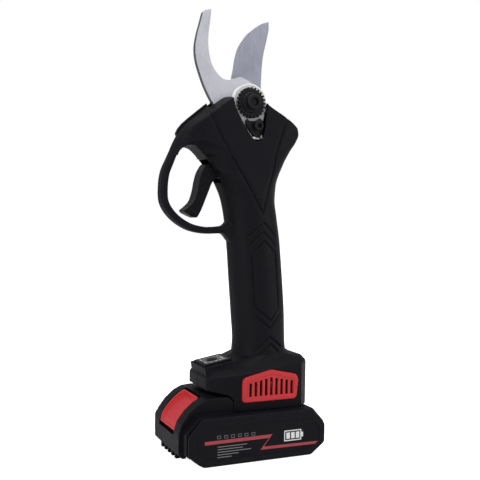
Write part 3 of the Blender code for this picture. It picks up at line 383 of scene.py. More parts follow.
def teeth(count, root, tip, centre, wide=0.3, narrow=0.18):
    """Outline of a toothed ring with flat-topped teeth."""
    points = []
    for i in range(count):
        for radius, share in ((root, -wide), (tip, -narrow), (tip, narrow), (root, wide)):
            angle = 2 * pi * (i + share) / count
            points.append((centre[0] + radius * cos(angle), centre[1] + radius * sin(angle)))
    return points


def rounded(points, reach, steps=3, share=0.45):
    """The outline with each corner rounded off by `reach`, or by that share of a short side."""
    out = []
    for i, corner in enumerate(points):
        here = Vector(corner)
        before, after = Vector(points[i - 1]), Vector(points[(i + 1) % len(points)])
        r = min(reach, (before - here).length * share, (after - here).length * share)
        a, b = here + (before - here).normalized() * r, here + (after - here).normalized() * r
        for k in range(steps + 1):
            t = k / steps
            out.append(tuple(a * (1 - t) ** 2 + here * 2 * t * (1 - t) + b * t * t))
    return out


def hexagon(radius, centre):
    return arc(centre, radius, 0, 300, 6)


def span(side, near, far):
    """A reach in y on one side of the middle, lower end first."""
    return sorted((side * near, side * far))


def settle(obj, name, body, slot, *nodes, mat=None, smooth=32):
    """Works out a piece's cuts, brings it to metres, gives it its material (the slot's unless one is given)
    and body, and hides the CAD nodes it replaces.
    """
    graph = bpy.context.evaluated_depsgraph_get()
    mesh = bpy.data.meshes.new_from_object(obj.evaluated_get(graph))
    mesh.transform(Matrix.Scale(MM, 4) @ obj.matrix_world)
    mesh.materials.clear()
    mesh.materials.append(mat or SLOT_MATERIALS[slot])
    mesh.shade_smooth()
    mesh.set_sharp_from_angle(angle=radians(smooth))
    piece = bpy.data.objects.new(name, mesh)
    SCENE.collection.objects.link(piece)
    piece.modifiers.new("weighted", "WEIGHTED_NORMAL").keep_sharp = True
    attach(piece, body)
    if nodes:
        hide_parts(*nodes)


# ---------------------------------------------------------------- housing shells
# head: height, front, chamfer depth, ridge y, run to the full side, back, half thickness, back depth
HEAD_LEVELS = np.array([
    (243, -20, 7.6, 14.2, 1.2, 12, 15.5, 6), (238, -26, 6, 15, 1.2, 18, 16.2, 6),
    (232, -32.6, 4.9, 15.7, 1.4, 28.5, 16.8, 6), (227, -38.6, 4.2, 15.8, 2, 37, 17, 6),
    (224, -42, 3.9, 15.5, 3.5, 40.2, 17, 6.5), (220, -45.6, 3.5, 14.4, 7, 41, 17, 7),
    (215, -48.8, 3.3, 12.2, 12, 39.2, 17, 7.6), (208.3, -52.2, 2.7, 9.2, 15, 35, 17, 9),
    (201.5, -54.9, 2, 6.6, 17, 31.2, 17, 10.8),
])
ROW_POINTS = 190
# handle: height, front, back, half thickness, front depth, back depth
HANDLE_LEVELS = np.array([
    (201.5, -32.8, 31.2, 17, 3, 10.8), (196, -27.4, 28.8, 17.1, 6, 12),
    (192, -23.5, 27, 17.2, 8.6, 13), (184, -18.8, 24.8, 17.4, 13, 16),
    (174, -14.7, 24.2, 17.6, 17, 18), (163, -12.2, 25.6, 17.8, 18.5, 18.8),
    (146, -9.8, 28.2, 18, 18.9, 18.9), (120, -7.6, 30.8, 18.2, 19.1, 19.1),
    (92, -5.2, 32.9, 18.4, 19, 19), (76, -3.9, 33.4, 18.6, 18.6, 18.6),
    (68, -4.4, 34.2, 19.2, 18.8, 18.8), (63, -6.4, 36, 20.6, 19.6, 19.6),
    (58, -9.5, 38.5, 22.6, 20.6, 20.6),
])
# lines moulded into the sides as (x, z): the head's two long ones, then the grip's chevrons and diamond
GROOVES = [
    [(-34, 235.5), (-30.3, 229.2), (-16.7, 205.7), (-3.5, 185.1), (8.9, 164.3)],
    [(28.5, 234), (25.7, 226.4), (18.6, 205.6), (16.8, 194.3), (15, 185.8), (9.3, 164.3)],
    [(-0.6, 148.4), (9.3, 158.4), (19.6, 149)],
    [(0.6, 142.6), (9.2, 151.8), (19.4, 142.6)],
    [(1.4, 136), (10, 145.4), (19.6, 137.2), (22.3, 99.4), (15.6, 90.2), (4.4, 99.9), (1.4, 136)],
    [(5, 93.6), (14.9, 85), (23, 93.8)],
    [(5.4, 69.6), (15, 79.4), (25.2, 71.4)],
    [(9.4, 68.2), (15.6, 74.6), (21.8, 68.6)],
]
# heights and x of the raised middle panel's two edges
PANEL_LEFT = ((164, 185, 206, 235), (8.9, -3.5, -16.7, -34))
PANEL_RIGHT = ((164, 186, 194, 206, 226), (9.3, 15, 16.8, 18.6, 25.7))
# the arch's rear edge and the grip's front below it, where the housing narrows to the trigger's slot
ARCH_EDGE = [(-40, 208.7), (-36.4, 207.4), (-32, 203.4), (-27.6, 198.5), (-25.3, 195.3), (-23.4, 191.9)]
KEEL_LINE = ARCH_EDGE + [(-18.8, 184), (-14.7, 174)]


def monotone(levels, z):
    """Every column of the levels at heights z, on a curve that never overshoots."""
    table = levels[np.argsort(levels[:, 0])]
    h, out = table[:, 0], []
    step = np.diff(h)
    for column in table[:, 1:].T:
        slope = np.diff(column) / step
        product, total = slope[:-1] * slope[1:], slope[:-1] + slope[1:]
        inner = np.where(product > 0, 2 * product / np.where(total == 0, 1, total), 0.0)
        m = np.concatenate([[slope[0]], inner, [slope[-1]]])
        k = np.clip(np.searchsorted(h, z) - 1, 0, len(step) - 1)
        t = (z - h[k]) / step[k]
        value = (1 + 2 * t) * (1 - t) ** 2 * column[k] + t * (1 - t) ** 2 * step[k] * m[k]
        out.append(value + t * t * (3 - 2 * t) * column[k + 1] + t * t * (t - 1) * step[k] * m[k + 1])
    return np.array(out).T


def travelled(x, y):
    """Distance along a polyline at each of its points."""
    return np.concatenate([[0], np.cumsum(np.hypot(np.diff(x), np.diff(y)))])


def even_points(x, y, count):
    """The polyline resampled at even spacing, leaving room at both ends for the seam."""
    run = travelled(x, y)
    at = np.linspace(0.45, run[-1] - 0.45, count)
    return np.interp(at, run, x), np.interp(at, run, y)


def handle_section(front, back, half, front_depth, back_depth):
    """One shell's rounded outer line from the front seam to the back seam."""
    turn = np.linspace(0, pi / 2, 24)
    limit = (back - front) / 2 - 0.01
    front_depth, back_depth = min(front_depth, limit), min(back_depth, limit)
    rise, fall = 1 - np.cos(turn), 1 - np.cos(turn[::-1])
    x = np.concatenate([front + front_depth * rise, back - back_depth * fall])
    return x, np.concatenate([half * np.sin(turn), half * np.sin(turn[::-1])])


def head_section(front, depth, ridge, run, back, half, back_depth):
    """The head's line: a nearly flat sloping band up to a crisp ridge, then over to the flat side."""
    t = np.linspace(0, 1, 14)
    band_x, band_y = depth * t ** 1.25, (ridge - 0.5) * t
    u = np.linspace(0.04, 1, 18)
    side_x = depth + 2 * u * (1 - u) * run * 0.42 + u * u * run
    side_y = (1 - u) ** 2 * ridge + 2 * u * (1 - u) * (ridge + (half - ridge) * 0.72) + u * u * half
    turn = np.linspace(pi / 2, 0, 20)
    back_depth = min(back_depth, back - front - depth - run - 0.01)
    x = np.concatenate([front + band_x, front + side_x, back - back_depth * (1 - np.cos(turn))])
    return x, np.concatenate([band_y, side_y, half * np.sin(turn)])


def distance_to(lines, x, z):
    """Distance of every point from the nearest of the lines."""
    best = np.full(x.shape, 99.0)
    for line in lines:
        for (ax, az), (bx, bz) in zip(line, line[1:]):
            dx, dz = bx - ax, bz - az
            t = np.clip(((x - ax) * dx + (z - az) * dz) / (dx * dx + dz * dz), 0, 1)
            best = np.minimum(best, np.hypot(x - ax - t * dx, z - az - t * dz))
    return best


def relief(x, y, z):
    """How far the moulded surface lies in from the plain section: grooves, and facets beside the panel."""
    near = distance_to(GROOVES, x, z)
    groove = 0.95 * np.clip(1 - (near / 0.78) ** 2, 0, 1) ** 1.5
    lip = 0.16 * np.clip(1 - (near / 2.6) ** 2, 0, 1)
    fade = np.clip((z - 164) / 14, 0, 1) * np.clip((241 - z) / 8, 0, 1)
    left = np.clip((np.interp(z, *PANEL_LEFT) - x) * 0.05, 0, 0.9)
    right = np.clip((x - np.interp(z, *PANEL_RIGHT)) * 0.17, 0, 1.7)
    return (groove + lip + (left + right) * fade) * np.clip((y - 6.0) / 3.0, 0, 1)


def keel(x, z):
    """Half thickness the housing may have: narrow along the arch, growing towards the panel's left edge."""
    height = float(z[0])
    away = distance_to([KEEL_LINE], x, z)
    room = np.clip(np.interp(height, *PANEL_LEFT) - x, 0.001, None)
    share = np.clip(away / (away + room), 0, 1) ** 0.5
    t = np.clip([(height - 206.0) / 13.0, (195.0 - height) / 17.0], 0, 1)
    return 7.7 + 10.5 * share + 12.0 * float(np.sum(t * t * (3 - 2 * t)))


def shell_body(name, side):
    """Outer skin of one half: rows from the foot up, each running from the front seam to the back seam."""
    rings = []
    handle = np.arange(58.0, 201.45, 0.6)
    head = np.concatenate([np.arange(201.5, 242.4, 0.6), [242.7, 243]])
    rows = [(z, handle_section(*values)) for z, values in zip(handle, monotone(HANDLE_LEVELS, handle))]
    rows += [(z, head_section(*values)) for z, values in zip(head, monotone(HEAD_LEVELS, head))]
    near_end = np.clip(2 - np.arange(ROW_POINTS) / 30, 0, 1)
    for z, (x, y) in rows:
        x, y = even_points(x, y, ROW_POINTS)
        rim = max(0.0, z - 242.0)
        x = x + rim * near_end - rim * near_end[::-1]
        level = np.full_like(x, z)
        if 176 < z < 221:
            y = -0.5 * np.log(np.exp(-2 * y) + np.exp(-2 * keel(x, level)))
        y = (y - relief(x, y, level)) * (1 - rim * 0.04)
        ring = [(x[0] + 0.95, 0.02), (x[0] + 0.25, 0.3)] + list(zip(x, y))
        ring += [(x[-1] - 0.25, 0.3), (x[-1] - 0.95, 0.02)]
        rings.append([(px, side * py, z) for px, py in ring])
    return loft(name, rings)


def hollow(name, side):
    """The space inside one half, wider than the seam so that both halves stay open to each other."""
    rings = []
    heights = list(np.arange(56.0, 204.0, 4.0)) + [204.2, 210.8, 216.8, 217.2, 222, 226, 230, 235, 240.6]
    for z in heights:
        if z < 201.5:
            front, back, half, depth = monotone(HANDLE_LEVELS, np.array([max(z, 58.0)]))[0][[0, 1, 2, 4]]
            if z < 75:
                front, back, half = -3.9, 33.4, 18.6
            front, depth = max(front, -24.0), min(max(depth, 14.0), 18.0)
        else:
            front, back, half = monotone(HEAD_LEVELS, np.array([z]))[0][[0, 4, 5]]
            front, depth = max(front, -24.0 if z < 217 else -47.0) + 1.0, 14.0 if z < 217 else 9.0
        x, y = even_points(*handle_section(front + WALL, back - WALL, half - WALL, depth, depth), 26)
        ring = [(x[0], -5)] + list(zip(x, y)) + [(x[-1], -5)]
        rings.append([(px, side * py, z) for px, py in ring])
    return loft(name, rings)


FOOT_FRONT, FOOT_REAR, FOOT_HALF = -31, 42.5, 27


def foot_plan(inset=0.0, y_end=0.03):
    """Half of the foot seen from above, from the front seam to the back seam."""
    half, front, rear = FOOT_HALF - inset, FOOT_FRONT + inset, FOOT_REAR - inset
    return [(front + 0.6, y_end), (front, 0.35 - min(inset, 0.2) - min(y_end, 0)),
        (front, 15.5 - inset * 0.6), (front + 2.5, 18.6 - inset * 0.7), (front + 12.0, 24.0 - inset * 0.9),
        (-9, half), (12, half), (35.5 - inset * 0.4, half), (rear, 20.0 - inset * 0.4),
        (rear, 0.35 - min(y_end, 0)), (rear - 0.6, y_end)]


def crease(x):
    """Height at which the foot's side turns into its sloping top."""
    return 57.3 + 0.12 * x


def foot(name, side):
    """Foot of the handle: upright sides, a rounded crease and a sloping top that runs up to the grip."""
    plan = foot_plan()
    x, y = handle_section(-5.5, 36.5, 20.5, 19.0, 19.0)
    run = travelled(x, y)
    shares = np.array([0, 0.008, 0.22, 0.29, 0.38, 0.48, 0.56, 0.72, 0.84, 0.992, 1]) * run[-1]
    root = list(zip(np.interp(shares, run, x), np.interp(shares, run, y)))

    def ring(share, height):
        """Share 0 is the crease at full width, 1 the crest above it."""
        return [(px * (1 - 0.07 * share) + 0.5 * share, side * py * (1 - 0.18 * share), crease(px) + height)
            for px, py in plan]

    rings = [[(px, side * py, 32) for px, py in plan], ring(0.0, -1.5), ring(0.02, -0.8), ring(0.07, -0.1),
        ring(0.16, 0.45), ring(0.3, 1.0), ring(1.0, 3.4)]
    for t in (0.12, 0.3, 0.55, 0.8, 1):
        blended = []
        for (px, py), (rx, ry) in zip(plan, root):
            qx, qy, qz = px * 0.93 + 0.5, py * 0.82, crease(px) + 3.4
            sag = 0.5 * sin(pi * t)
            height = qz + (66.5 + 0.03 * rx - qz) * t - sag
            blended.append((qx + (rx - qx) * t, side * (qy + (ry - qy) * t), height))
        rings.append(blended)
    return loft(name, rings)


PANEL_FRAME = Matrix.Translation((-20.3, 0, 61)) @ Matrix.Rotation(-radians(10.0), 4, "Y")
SCREW_POSTS = [(-40.5, 216.5, 15.2), (31, 218.5, 15.2), (21.5, 125, 11.6), (23.5, 86, 11.6)]


def vent_points(grow=0.0):
    """Six-sided grille outline with its peak a little behind the middle."""
    g = grow
    corners = [(-8.2 - g, 37.6 - g), (29.6 + g * 0.6, 37.6 - g), (31.6 + g, 39.4 - g * 0.4),
        (32.4 + g, 51.6 + g * 0.6), (30.6 + g, 54.6 + g), (12, 58.6 + g), (-7.6 - g, 54.4 + g),
        (-9.4 - g, 52.2 + g * 0.6), (-9.6 - g, 39.2 - g * 0.4)]
    return rounded(corners, 1.0, 2, 0.4)


def guard_stub(side):
    """Flared half of the root that the guard's lower end runs into."""
    rings = []
    for x, tall, wide in ((-18.6, 2.2, 5.2), (-18.3, 2.4, 5.45), (-16, 2.6, 5.6), (-14, 3.4, 5.9),
            (-12.4, 4.9, 6.4), (-10.6, 7.4, 7.2), (-8, 9.6, 8)):
        half = [(0.03, -tall), (0.3, -tall * 0.995)]
        half += [(wide * sin(t) ** 0.75, -tall * cos(t)) for t in np.linspace(0.18, pi - 0.18, 15)]
        half += [(0.3, tall * 0.995), (0.03, tall)]
        rings.append([(x, side * y, 152.5 + dz) for y, dz in half])
    return loft("stub", rings)


def build_shell(name, side, node):
    """One half of the housing. The near half has the window round the nut, the far half a closed boss."""
    body = shell_body(name, side)
    join(body, foot("foot", side))
    join(body, guard_stub(side))
    low, high = span(side, 0.03, 14.0)
    pad_line = rounded([(-10.8, low), (12.6, low), (12.6, high), (-10.8, high)], 0.2)
    join(body, outline("display_pad", pad_line, -6.0, 0.6, 1.2, "Z", PANEL_FRAME, 4))
    if side > 0:
        crown = arc(PIVOT[::2], 17.0, 12, 168, 40) + [(-22, 232), (24, 231)]
        join(body, outline("sector_boss", crown, 2.6, 16.6, 2.0, segments=5))
    cut(body, hollow("shell_hollow", side))
    inner = [(max(x, -12.0), side * y, crease(x) - 1.6) for x, y in foot_plan(WALL, -5.0)]
    cut(body, loft("foot_hollow", [[(x, y, 36.3) for x, y, _ in inner], inner]))
    if side > 0:
        cut(body, rod("boss_hollow", 15.4, -1.0, 14.7, PIVOT))
        lip = [(-25, 236), (-26.2, 239.2), (-33.4, 233.2), (-39.8, 227.8), (-44, 224), (-46.8, 220.6),
            (-48.3, 217.6), (-48.2, 216), (-46, 214.6)]
        join(body, outline("front_lip", lip, 0.5, 4.4, 0.5))
    else:
        window = smooth_path([(-15.5, 252), (-12.6, 236.5), (-9, 228.7), (-2.9, 219), (0.3, 215),
            (4.2, 213.2), (7.8, 215.4), (9.6, 221.2), (11, 230), (12.4, 240), (13.5, 252)], 6)
        cut(body, outline("nut_window", window, -30, -11.9))
        plate_seat = [(-12.9, 236.5), (-9.3, 228.4), (10.9, 228.4), (14.2, 234), (14.4, 252), (-15.3, 252)]
        cut(body, outline("plate_seat", plate_seat, -12.5, -6.4))
    arch = smooth_path([(-50.3, 201.6), (-48.9, 204.8), (-46.6, 207), (-43.6, 208.4)] + ARCH_EDGE, 4)
    for label, points, reach in (("arch", [(-50.3, 190)] + arch + [(-23, 190)], (-25, 25)),
            ("blade_slit", [(-27.3, 226), (-27.3, 262), (22, 262), (19.5, 228), (0, 216)], (-6.8, 2.4)),
            ("trigger_slot", [(-45, 196), (-30, 199.8), (-20, 203.5), (-11.5, 203.5), (-11.5, 184.6),
            (-28, 184.6)], (-6.8, 6.8)), ("raised_front", [(-45, 25), (-14.3, 25), (-14.3, 38.9),
            (-14.9, 39.6), (-17.2, 42.3), (-18.2, 42.8), (-32, 45.7), (-45, 46)], (-40, 40))):
        cut(body, outline(label, points, *reach))
    cut(body, box("rail_door", (-20, -20.5, 36.3), (-11, 20.5, 42.1)))
    cut(body, box("rail_slot", (-20, -16.4, 25), (34, 16.4, 38)))
    cut(body, box("display_seat", (-9.7, -10.9, -1.5), (11.2, 10.9, 6), place=PANEL_FRAME))
    cut(body, box("display_well", (-8, -8, -9), (8, 8, 0), place=PANEL_FRAME))
    cut(body, outline("vent_seat", vent_points(0.3), *span(side, FOOT_HALF - 1.3, 40)))
    cut(body, outline("vent_opening", vent_points(-2.2), *span(side, 20, 40)))
    if side > 0:
        for x, z, reach in SCREW_POSTS:
            cut(body, rod("screw_sink", 3.0, reach - 3.2, 30, (x, 0, z)))
    settle(body, name, "housing", "black_plastic", node)


build_shell("skin_left", -1, "left_shell")
build_shell("skin_right", 1, "right_shell")
for number, (x, z, reach) in enumerate(SCREW_POSTS, 1):
    head = rod("screw", 2.65, reach - 3.1, reach - 0.8, (x, 0, z), edge=0.4)
    cut(head, outline("screw_socket", hexagon(1.35, (x, z)), reach - 2.2, 20), "EXACT")
    join(head, rod("screw_shank", 1.45, -reach + 4.6, reach - 3.0, (x, 0, z)), "EXACT")
    settle(head, f"housing_screw_{number}", "housing", "bright_steel", f"shell_screw_{number}")

# ---------------------------------------------------------------- guard and trigger
GUARD_PATH = [(-51.4, 204.8), (-54.3, 196.6), (-56.9, 189.3), (-57.9, 180.5), (-57.3, 171.2), (-53.4, 164.2),
    (-47.2, 158.5), (-38.9, 154.1), (-29.2, 152.1), (-20, 152.2), (-15, 152.7)]
TRIGGER_PIVOT = (-17.5, 0, 196.5)


def guard_section(share):
    """Half section of the guard: a groove round its outer middle and chamfered outer corners."""
    top = max(0.0, 1 - share / 0.12)
    wide = 5.2 + 0.9 * top
    half = [(1.6, 0), (1.75, 0.28), (2.2, 0.55), (2.3, 0.85), (2.3, wide - 2.3), (2.1, wide - 1.4),
        (1.6, wide - 0.6), (1, wide), (-1.7, wide), (-2.1, wide - 0.15), (-2.3, wide - 0.55)]
    half = [(r - top * (0.2 + 0.26 * y) * (r > 0), y) for r, y in half]
    return half + [(r, -y) for r, y in reversed(half[1:])]


def build_guard():
    """The bow, from the horn of the head round to its root on the grip."""
    guard = sweep("guard", smooth_path(GUARD_PATH, 8), guard_section)
    settle(guard, "guard_bow", "housing", "black_plastic", "trigger_guard")


def build_trigger():
    """The lever, with seven fine ribs across the finger's side and the seats for its magnet and spring."""
    front = smooth_path([(-28.8, 197), (-32, 191.4), (-33.8, 185), (-35, 178.4), (-37.2, 171.9),
        (-40.5, 168.2), (-44, 165.4)], 6)
    back = smooth_path([(-34.9, 160.7), (-31.8, 166.7), (-27.4, 177.6), (-24.6, 184.4), (-21.4, 188.2)], 5)
    lip = [(-44.1, 164.6), (-43, 163.5), (-38.6, 161.6), (-36, 160.5)]
    points = front + lip + back + [(-14.6, 189.4), (-13.4, 192)]
    points += arc(TRIGGER_PIVOT[::2], 4.4, -10, 130, 14) + [(-25.6, 198.4)]
    trigger = outline("trigger", points, -6.0, 6.0, 1.1, segments=4)
    for i in range(7):
        x, z = front[-8 - 4 * i]
        cut(trigger, rod("trigger_rib", 0.5, -4.4, 4.4, (x - 0.28, 0, z), steps=16))
    cut(trigger, rod("trigger_bore", 2.3, -10, 10, TRIGGER_PIVOT))
    cut(trigger, rod("magnet_pocket", 1.8, 2.0, 10, (-16.2, 0, 191.2), steps=24))
    cut(trigger, rod("spring_pocket", 2.7, -4.5, 9.0, (-18, 0, 190), along="X", steps=24))
    settle(trigger, "trigger_lever", "trigger_arm", "dark_plastic", "trigger")


build_guard()
build_trigger()


# ---------------------------------------------------------------- cutting head
BOLT_R, GAP = 3.9, 0.3


def round_pivot(radius, degrees):
    """A place at that radius and angle about the pivot."""
    return PIVOT[0] + radius * cos(radians(degrees)), 0, PIVOT[2] + radius * sin(radians(degrees))


DOWEL_PLACE = round_pivot(9.6, 225)
LOCK_SCREW = (5.1, 0, 223.9)


def build_hook():
    """The fixed counter blade, which curls round the branch."""
    outer = smooth_path([(-33, 298.6), (-34.9, 291), (-37, 283), (-38.2, 274.5), (-37.3, 266), (-34.4, 257),
        (-30.6, 248), (-25.4, 239), (-18, 230)], 5)
    inner = smooth_path([(-12.9, 255), (-16.5, 255), (-20.2, 256.9), (-23.6, 260.4), (-26.2, 264.6),
        (-27.8, 270), (-28.9, 277), (-28.8, 285), (-27.8, 293), (-27, 301.25)], 5)
    hub = smooth_path([(-8, 222.6), (-1.9, 222.3), (5.2, 224.2), (10, 228.8), (12.8, 234.6), (13.4, 240.5),
        (12.8, 245.6), (8.8, 251), (4.5, 253.9), (-0.9, 256.6), (-5.1, 257.5), (-9.3, 256.2)], 5)
    points = [(-28.6, 300.9), (-31.4, 300.1)] + outer + hub + inner
    hook = outline("hook", points, -6.4, -2.4, 0.3)
    cut(hook, rod("hook_bore", BOLT_R + GAP, -20, 20, PIVOT))
    cut(hook, rod("hook_dowel_hole", 1.8, -20, 20, DOWEL_PLACE, steps=24))
    settle(hook, "hooked_counter_blade", "housing", "blade_steel", "hook_blade")


def build_moving_blade():
    """The moving blade, ground on one side along its cutting edge."""
    edge = smooth_path([(-11, 252), (-9.9, 258), (-8.8, 264), (-7.9, 270), (-6, 277), (-3, 282.6), (1, 288),
        (4.4, 291.2), (8.4, 294.4), (12.6, 297.2), (18.2, 299.4)], 6)
    spine = smooth_path([(18.4, 294), (16.8, 286), (14.9, 278), (13.7, 270), (13.2, 262), (13, 255),
        (12.9, 250)], 6)
    hub = arc(PIVOT[::2], 14.4, 30, -210, 56)
    ground = []
    for i, (x, z, in_x, in_z) in enumerate(with_normals(edge)):
        share = i / (len(edge) - 1)
        inset = 3.0 * min(1.0, share * 7) * min(1.0, (1 - share) * 4)
        ground.append((x + in_x * inset, z + in_z * inset))
    flat, bevelled = edge + spine + hub, ground + spine + hub
    middle = Vector((2, 262))

    def trimmed(ring):
        return [tuple(middle + (Vector(p) - middle) * 0.993) for p in ring]

    layers = ((-2.1, trimmed(flat)), (-1.9, flat), (1.7, bevelled), (1.9, trimmed(bevelled)))
    blade = loft("moving_blade", [[(x, y, z) for x, z in ring] for y, ring in layers])
    cut(blade, rod("blade_bore", 6.3, -20, 20, PIVOT), "EXACT")
    for angle in (-64, -120):
        cut(blade, rod("blade_screw_hole", 1.8, -20, 20, round_pivot(10.6, angle), steps=24), "EXACT")
    settle(blade, "cutting_blade", "blade", "tool_steel", "moving_blade")


def build_plate():
    """The white casting behind the nut, dished round it, with a tail that takes the lock screw."""
    tail = smooth_path([(11.9, 233), (11, 229), (9.8, 225), (8.9, 220.6)], 4)
    points = arc((0.5, 240.8), 12.2, 205, -25, 60) + tail + arc((5.3, 218.6), 3.5, 0, -165, 12)
    plate = outline("plate", points + [(-2.6, 222.6), (-6.4, 228.4)], -11.0, -6.7, 0.9, segments=4)
    cut(plate, outline("plate_dish", arc((0.5, 240.2), 11.3, 0, 352, 45), -11.6, -10.75, 0.2))
    cut(plate, rod("plate_bore", BOLT_R + GAP, -20, 20, PIVOT))
    cut(plate, rod("lock_screw_thread", 1.85, -20, 20, LOCK_SCREW, steps=24))
    cut(plate, rod("plate_dowel_hole", 1.8, -10.0, 20, DOWEL_PLACE, steps=24))
    settle(plate, "white_plate", "housing", "cast_aluminium", "head_plate")


def build_nut_and_lock():
    """The toothed adjusting nut, the pivot bolt in it, and the screwed piece that holds its teeth."""
    nut = outline("nut", teeth(24, 8.8, 10.6, PIVOT[::2], 0.27, 0.2), -14.3, -11.3, 0.25, segments=2)
    hub = turned("nut_hub", [(0, -19.2), (3.9, -19.2), (4.5, -19.2), (5, -18.75), (5, -16.2), (5.2, -15.9),
        (6.5, -15.9), (6.9, -15.5), (6.9, -14.5), (7.2, -14.1), (8, -14.1), (8, -12.6), (0, -12.6)], PIVOT)
    join(nut, hub, "EXACT")
    cut(nut, rod("nut_bore", BOLT_R + 0.35, -18.3, 0, PIVOT), "EXACT")
    cut(nut, rod("nut_end_bore", 2.9, -25, -18.0, PIVOT), "EXACT")
    settle(nut, "toothed_nut", "housing", "black_oxide", "adjusting_nut")
    bolt = turned("bolt", [(0, -17.8), (1.7, -17.8), (2.6, -17.75), (3.4, -17.7), (3.9, -17.2), (3.9, 11.9),
        (0, 11.9)], PIVOT)
    bolt_head = outline("bolt_head", hexagon(7.0, PIVOT[::2]), 11.8, 14.2, 0.4)
    join(bolt, bolt_head, "EXACT")
    settle(bolt, "pivot_bolt_body", "housing", "bright_steel", "pivot_bolt",
        mat=SLOT_MATERIALS["black_oxide"])
    lock_line = smooth_path([(-2.4, 228.4), (-0.8, 226.6), (1.2, 227.4), (2.6, 226.8), (4.6, 227.8),
        (7.4, 229.2), (9.2, 226.6), (9.6, 222), (8.6, 218.6), (5.4, 216.4), (2.6, 217.2), (0.6, 219.4),
        (-1.4, 222), (-3.4, 225.2), (-2.4, 228.4)], 4)[:-1]
    lock = outline("lock", lock_line, -14.1, -11.3, 0.45)
    cut(lock, rod("lock_bore", 1.95, -20, 20, LOCK_SCREW, steps=24))
    settle(lock, "nut_locking_piece", "housing", "black_oxide", "nut_lock")
    screw = turned("lock_screw", [(0, -17.6), (2.7, -17.6), (3.3, -17), (3.3, -14.9), (3.1, -14.5),
        (1.6, -14.45), (1.6, -7.4), (0, -7.4)], LOCK_SCREW)
    cut(screw, outline("lock_socket", hexagon(1.9, LOCK_SCREW[::2]), -20, -15.6), "EXACT")
    settle(screw, "lock_cap_screw", "housing", "black_oxide", "lock_screw")


def build_white_dabs():
    """White dabs below the locking piece."""
    dabs = ((3, 215.6, 1.5, 0.7), (5.6, 215.2, 1.7, 0.6), (8.3, 216.6, 0.6, 1.5))
    for i, (x, z, wide, tall) in enumerate(dabs):
        bm = bmesh.new()
        bmesh.ops.create_icosphere(bm, subdivisions=4, radius=1.0)
        for v in bm.verts:
            swell = 1 + 0.22 * sin(5 * v.co.x + i) * cos(4 * v.co.z + 2 * i) + 0.1 * sin(9 * v.co.z)
            dx, dy, dz = v.co.x * wide * swell, v.co.y * 0.5 * swell, v.co.z * tall * swell
            v.co = Vector((x + dx, -13.6 + dy, z + dz))
        settle(raw("white_dab", bm), f"white_dab_piece_{i + 1}", "housing", None, mat=WHITE_DAB_MATERIAL, smooth=60)


build_hook()
build_moving_blade()
build_plate()
build_nut_and_lock()
build_white_dabs()


# ---------------------------------------------------------------- display panel and vents
def build_display():
    """The panel on the foot's front slope: frame, window, power key and plain printed marks."""
    f = PANEL_FRAME
    bezel = box("bezel", (-9.4, -10.6, -1.2), (10.9, 10.6, 2), 0.7, f)
    cut(bezel, box("bezel_recess", (-7.7, -8.9, 1.2), (9.2, 8.9, 5), 0.3, f))
    cut(bezel, rod("bezel_bore", 3.9, -5, 5, along="Z", place=f))
    settle(bezel, "display_frame", "housing", "dark_plastic", "display_bezel")
    window = box("window", (-7.4, -8.6, 1.3), (8.9, 8.6, 1.95), 0.25, f)
    cut(window, rod("window_bore", 3.9, -5, 5, along="Z", place=f))
    settle(window, "display_cover", "housing", "gloss_panel", "display_window")
    button = turned("power_button", [(0, -1.6), (3.5, -1.6), (3.5, 1.9), (3.3, 2.25), (2.9, 2.4), (2.3, 2.4),
        (1.4, 2.2), (0, 2.1)], along="Z", place=f)
    settle(button, "power_key_cap", "power_key", "dark_plastic", "power_button")
    ring = turned("ring", [(4.35, 1.9), (4.35, 1.99), (4.85, 1.99), (4.85, 1.9), (4.35, 1.9)], along="Z",
        place=f)
    settle(ring, "power_ring_print", "housing", None, mat=INK_PINK)
    marks = [(-6.4, y, 0.3, 0.8) for y in (-5.6, -3.2, 3.2, 5.6)]
    marks += [(6.4, y, 0.3, 0.8) for y in (-6.2, -3.6, 5.4)]
    marks += [(x, -7.2, 0.7, 0.35) for x in (-3, 0.4, 3.6)] + [(6.8, -0.6, 0.25, 1.6)]
    for i, (x, y, long, wide) in enumerate(marks):
        mark = box("mark", (x - long, y - wide, 1.9), (x + long, y + wide, 1.99), 0, f)
        settle(mark, f"display_mark_{i + 1}", "housing", None, mat=INK_WHITE)


def build_vents():
    """A red grille on each side of the foot, with nine slots."""
    for name, side in (("left", -1), ("right", 1)):
        low, high = span(side, 26.0, 28.2)
        grille = outline("grille", vent_points(), low, high, 0.75, segments=4)
        cut(grille, outline("grille_field", vent_points(-2.6), *span(side, 27.75, 29.0)))
        for i in range(9):
            x = -3.4 + 3.87 * i
            top = 50.2 + 3.2 * (1 - abs(x - 12.0) / 16.0)
            cut(grille, box("grille_slot", (x - 1.05, low - 1, 41.2), (x + 1.05, high + 1, top), 0.3))
        settle(grille, f"{name}_grille_louvre", "housing", "red_plastic", f"{name}_vent_grille")


build_display()
build_vents()


# ---------------------------------------------------------------- battery
CASE_WIDE, LABEL_FLOOR = 32.7, 35.2
HUMP_LINE = [(-14.7, 38.6), (-17.6, 41.4), (-27, 41.8), (-34, 41.2), (-39.6, 38.6), (-46, 33.2), (-51, 26.6),
    (-53, 20), (-53, 7), (-50.4, 4.3), (-14.7, 4.3)]


def octagon(half, top, top_cut, low_cut, bottom=0.0, inset=0.0):
    """Battery profile in x and z: a bar with bevelled ends. Each cut is (along x, along z)."""
    (tx, tz), (lx, lz) = top_cut, low_cut
    half, top, bottom = half - inset, top - inset, bottom + inset
    k = inset * 0.42
    return [(-half + lx - k, bottom), (half - lx + k, bottom), (half, bottom + lz - k), (half, top - tz + k),
        (half - tx + k, top), (-half + tx - k, top), (-half, top - tz + k), (-half, bottom + lz - k)]


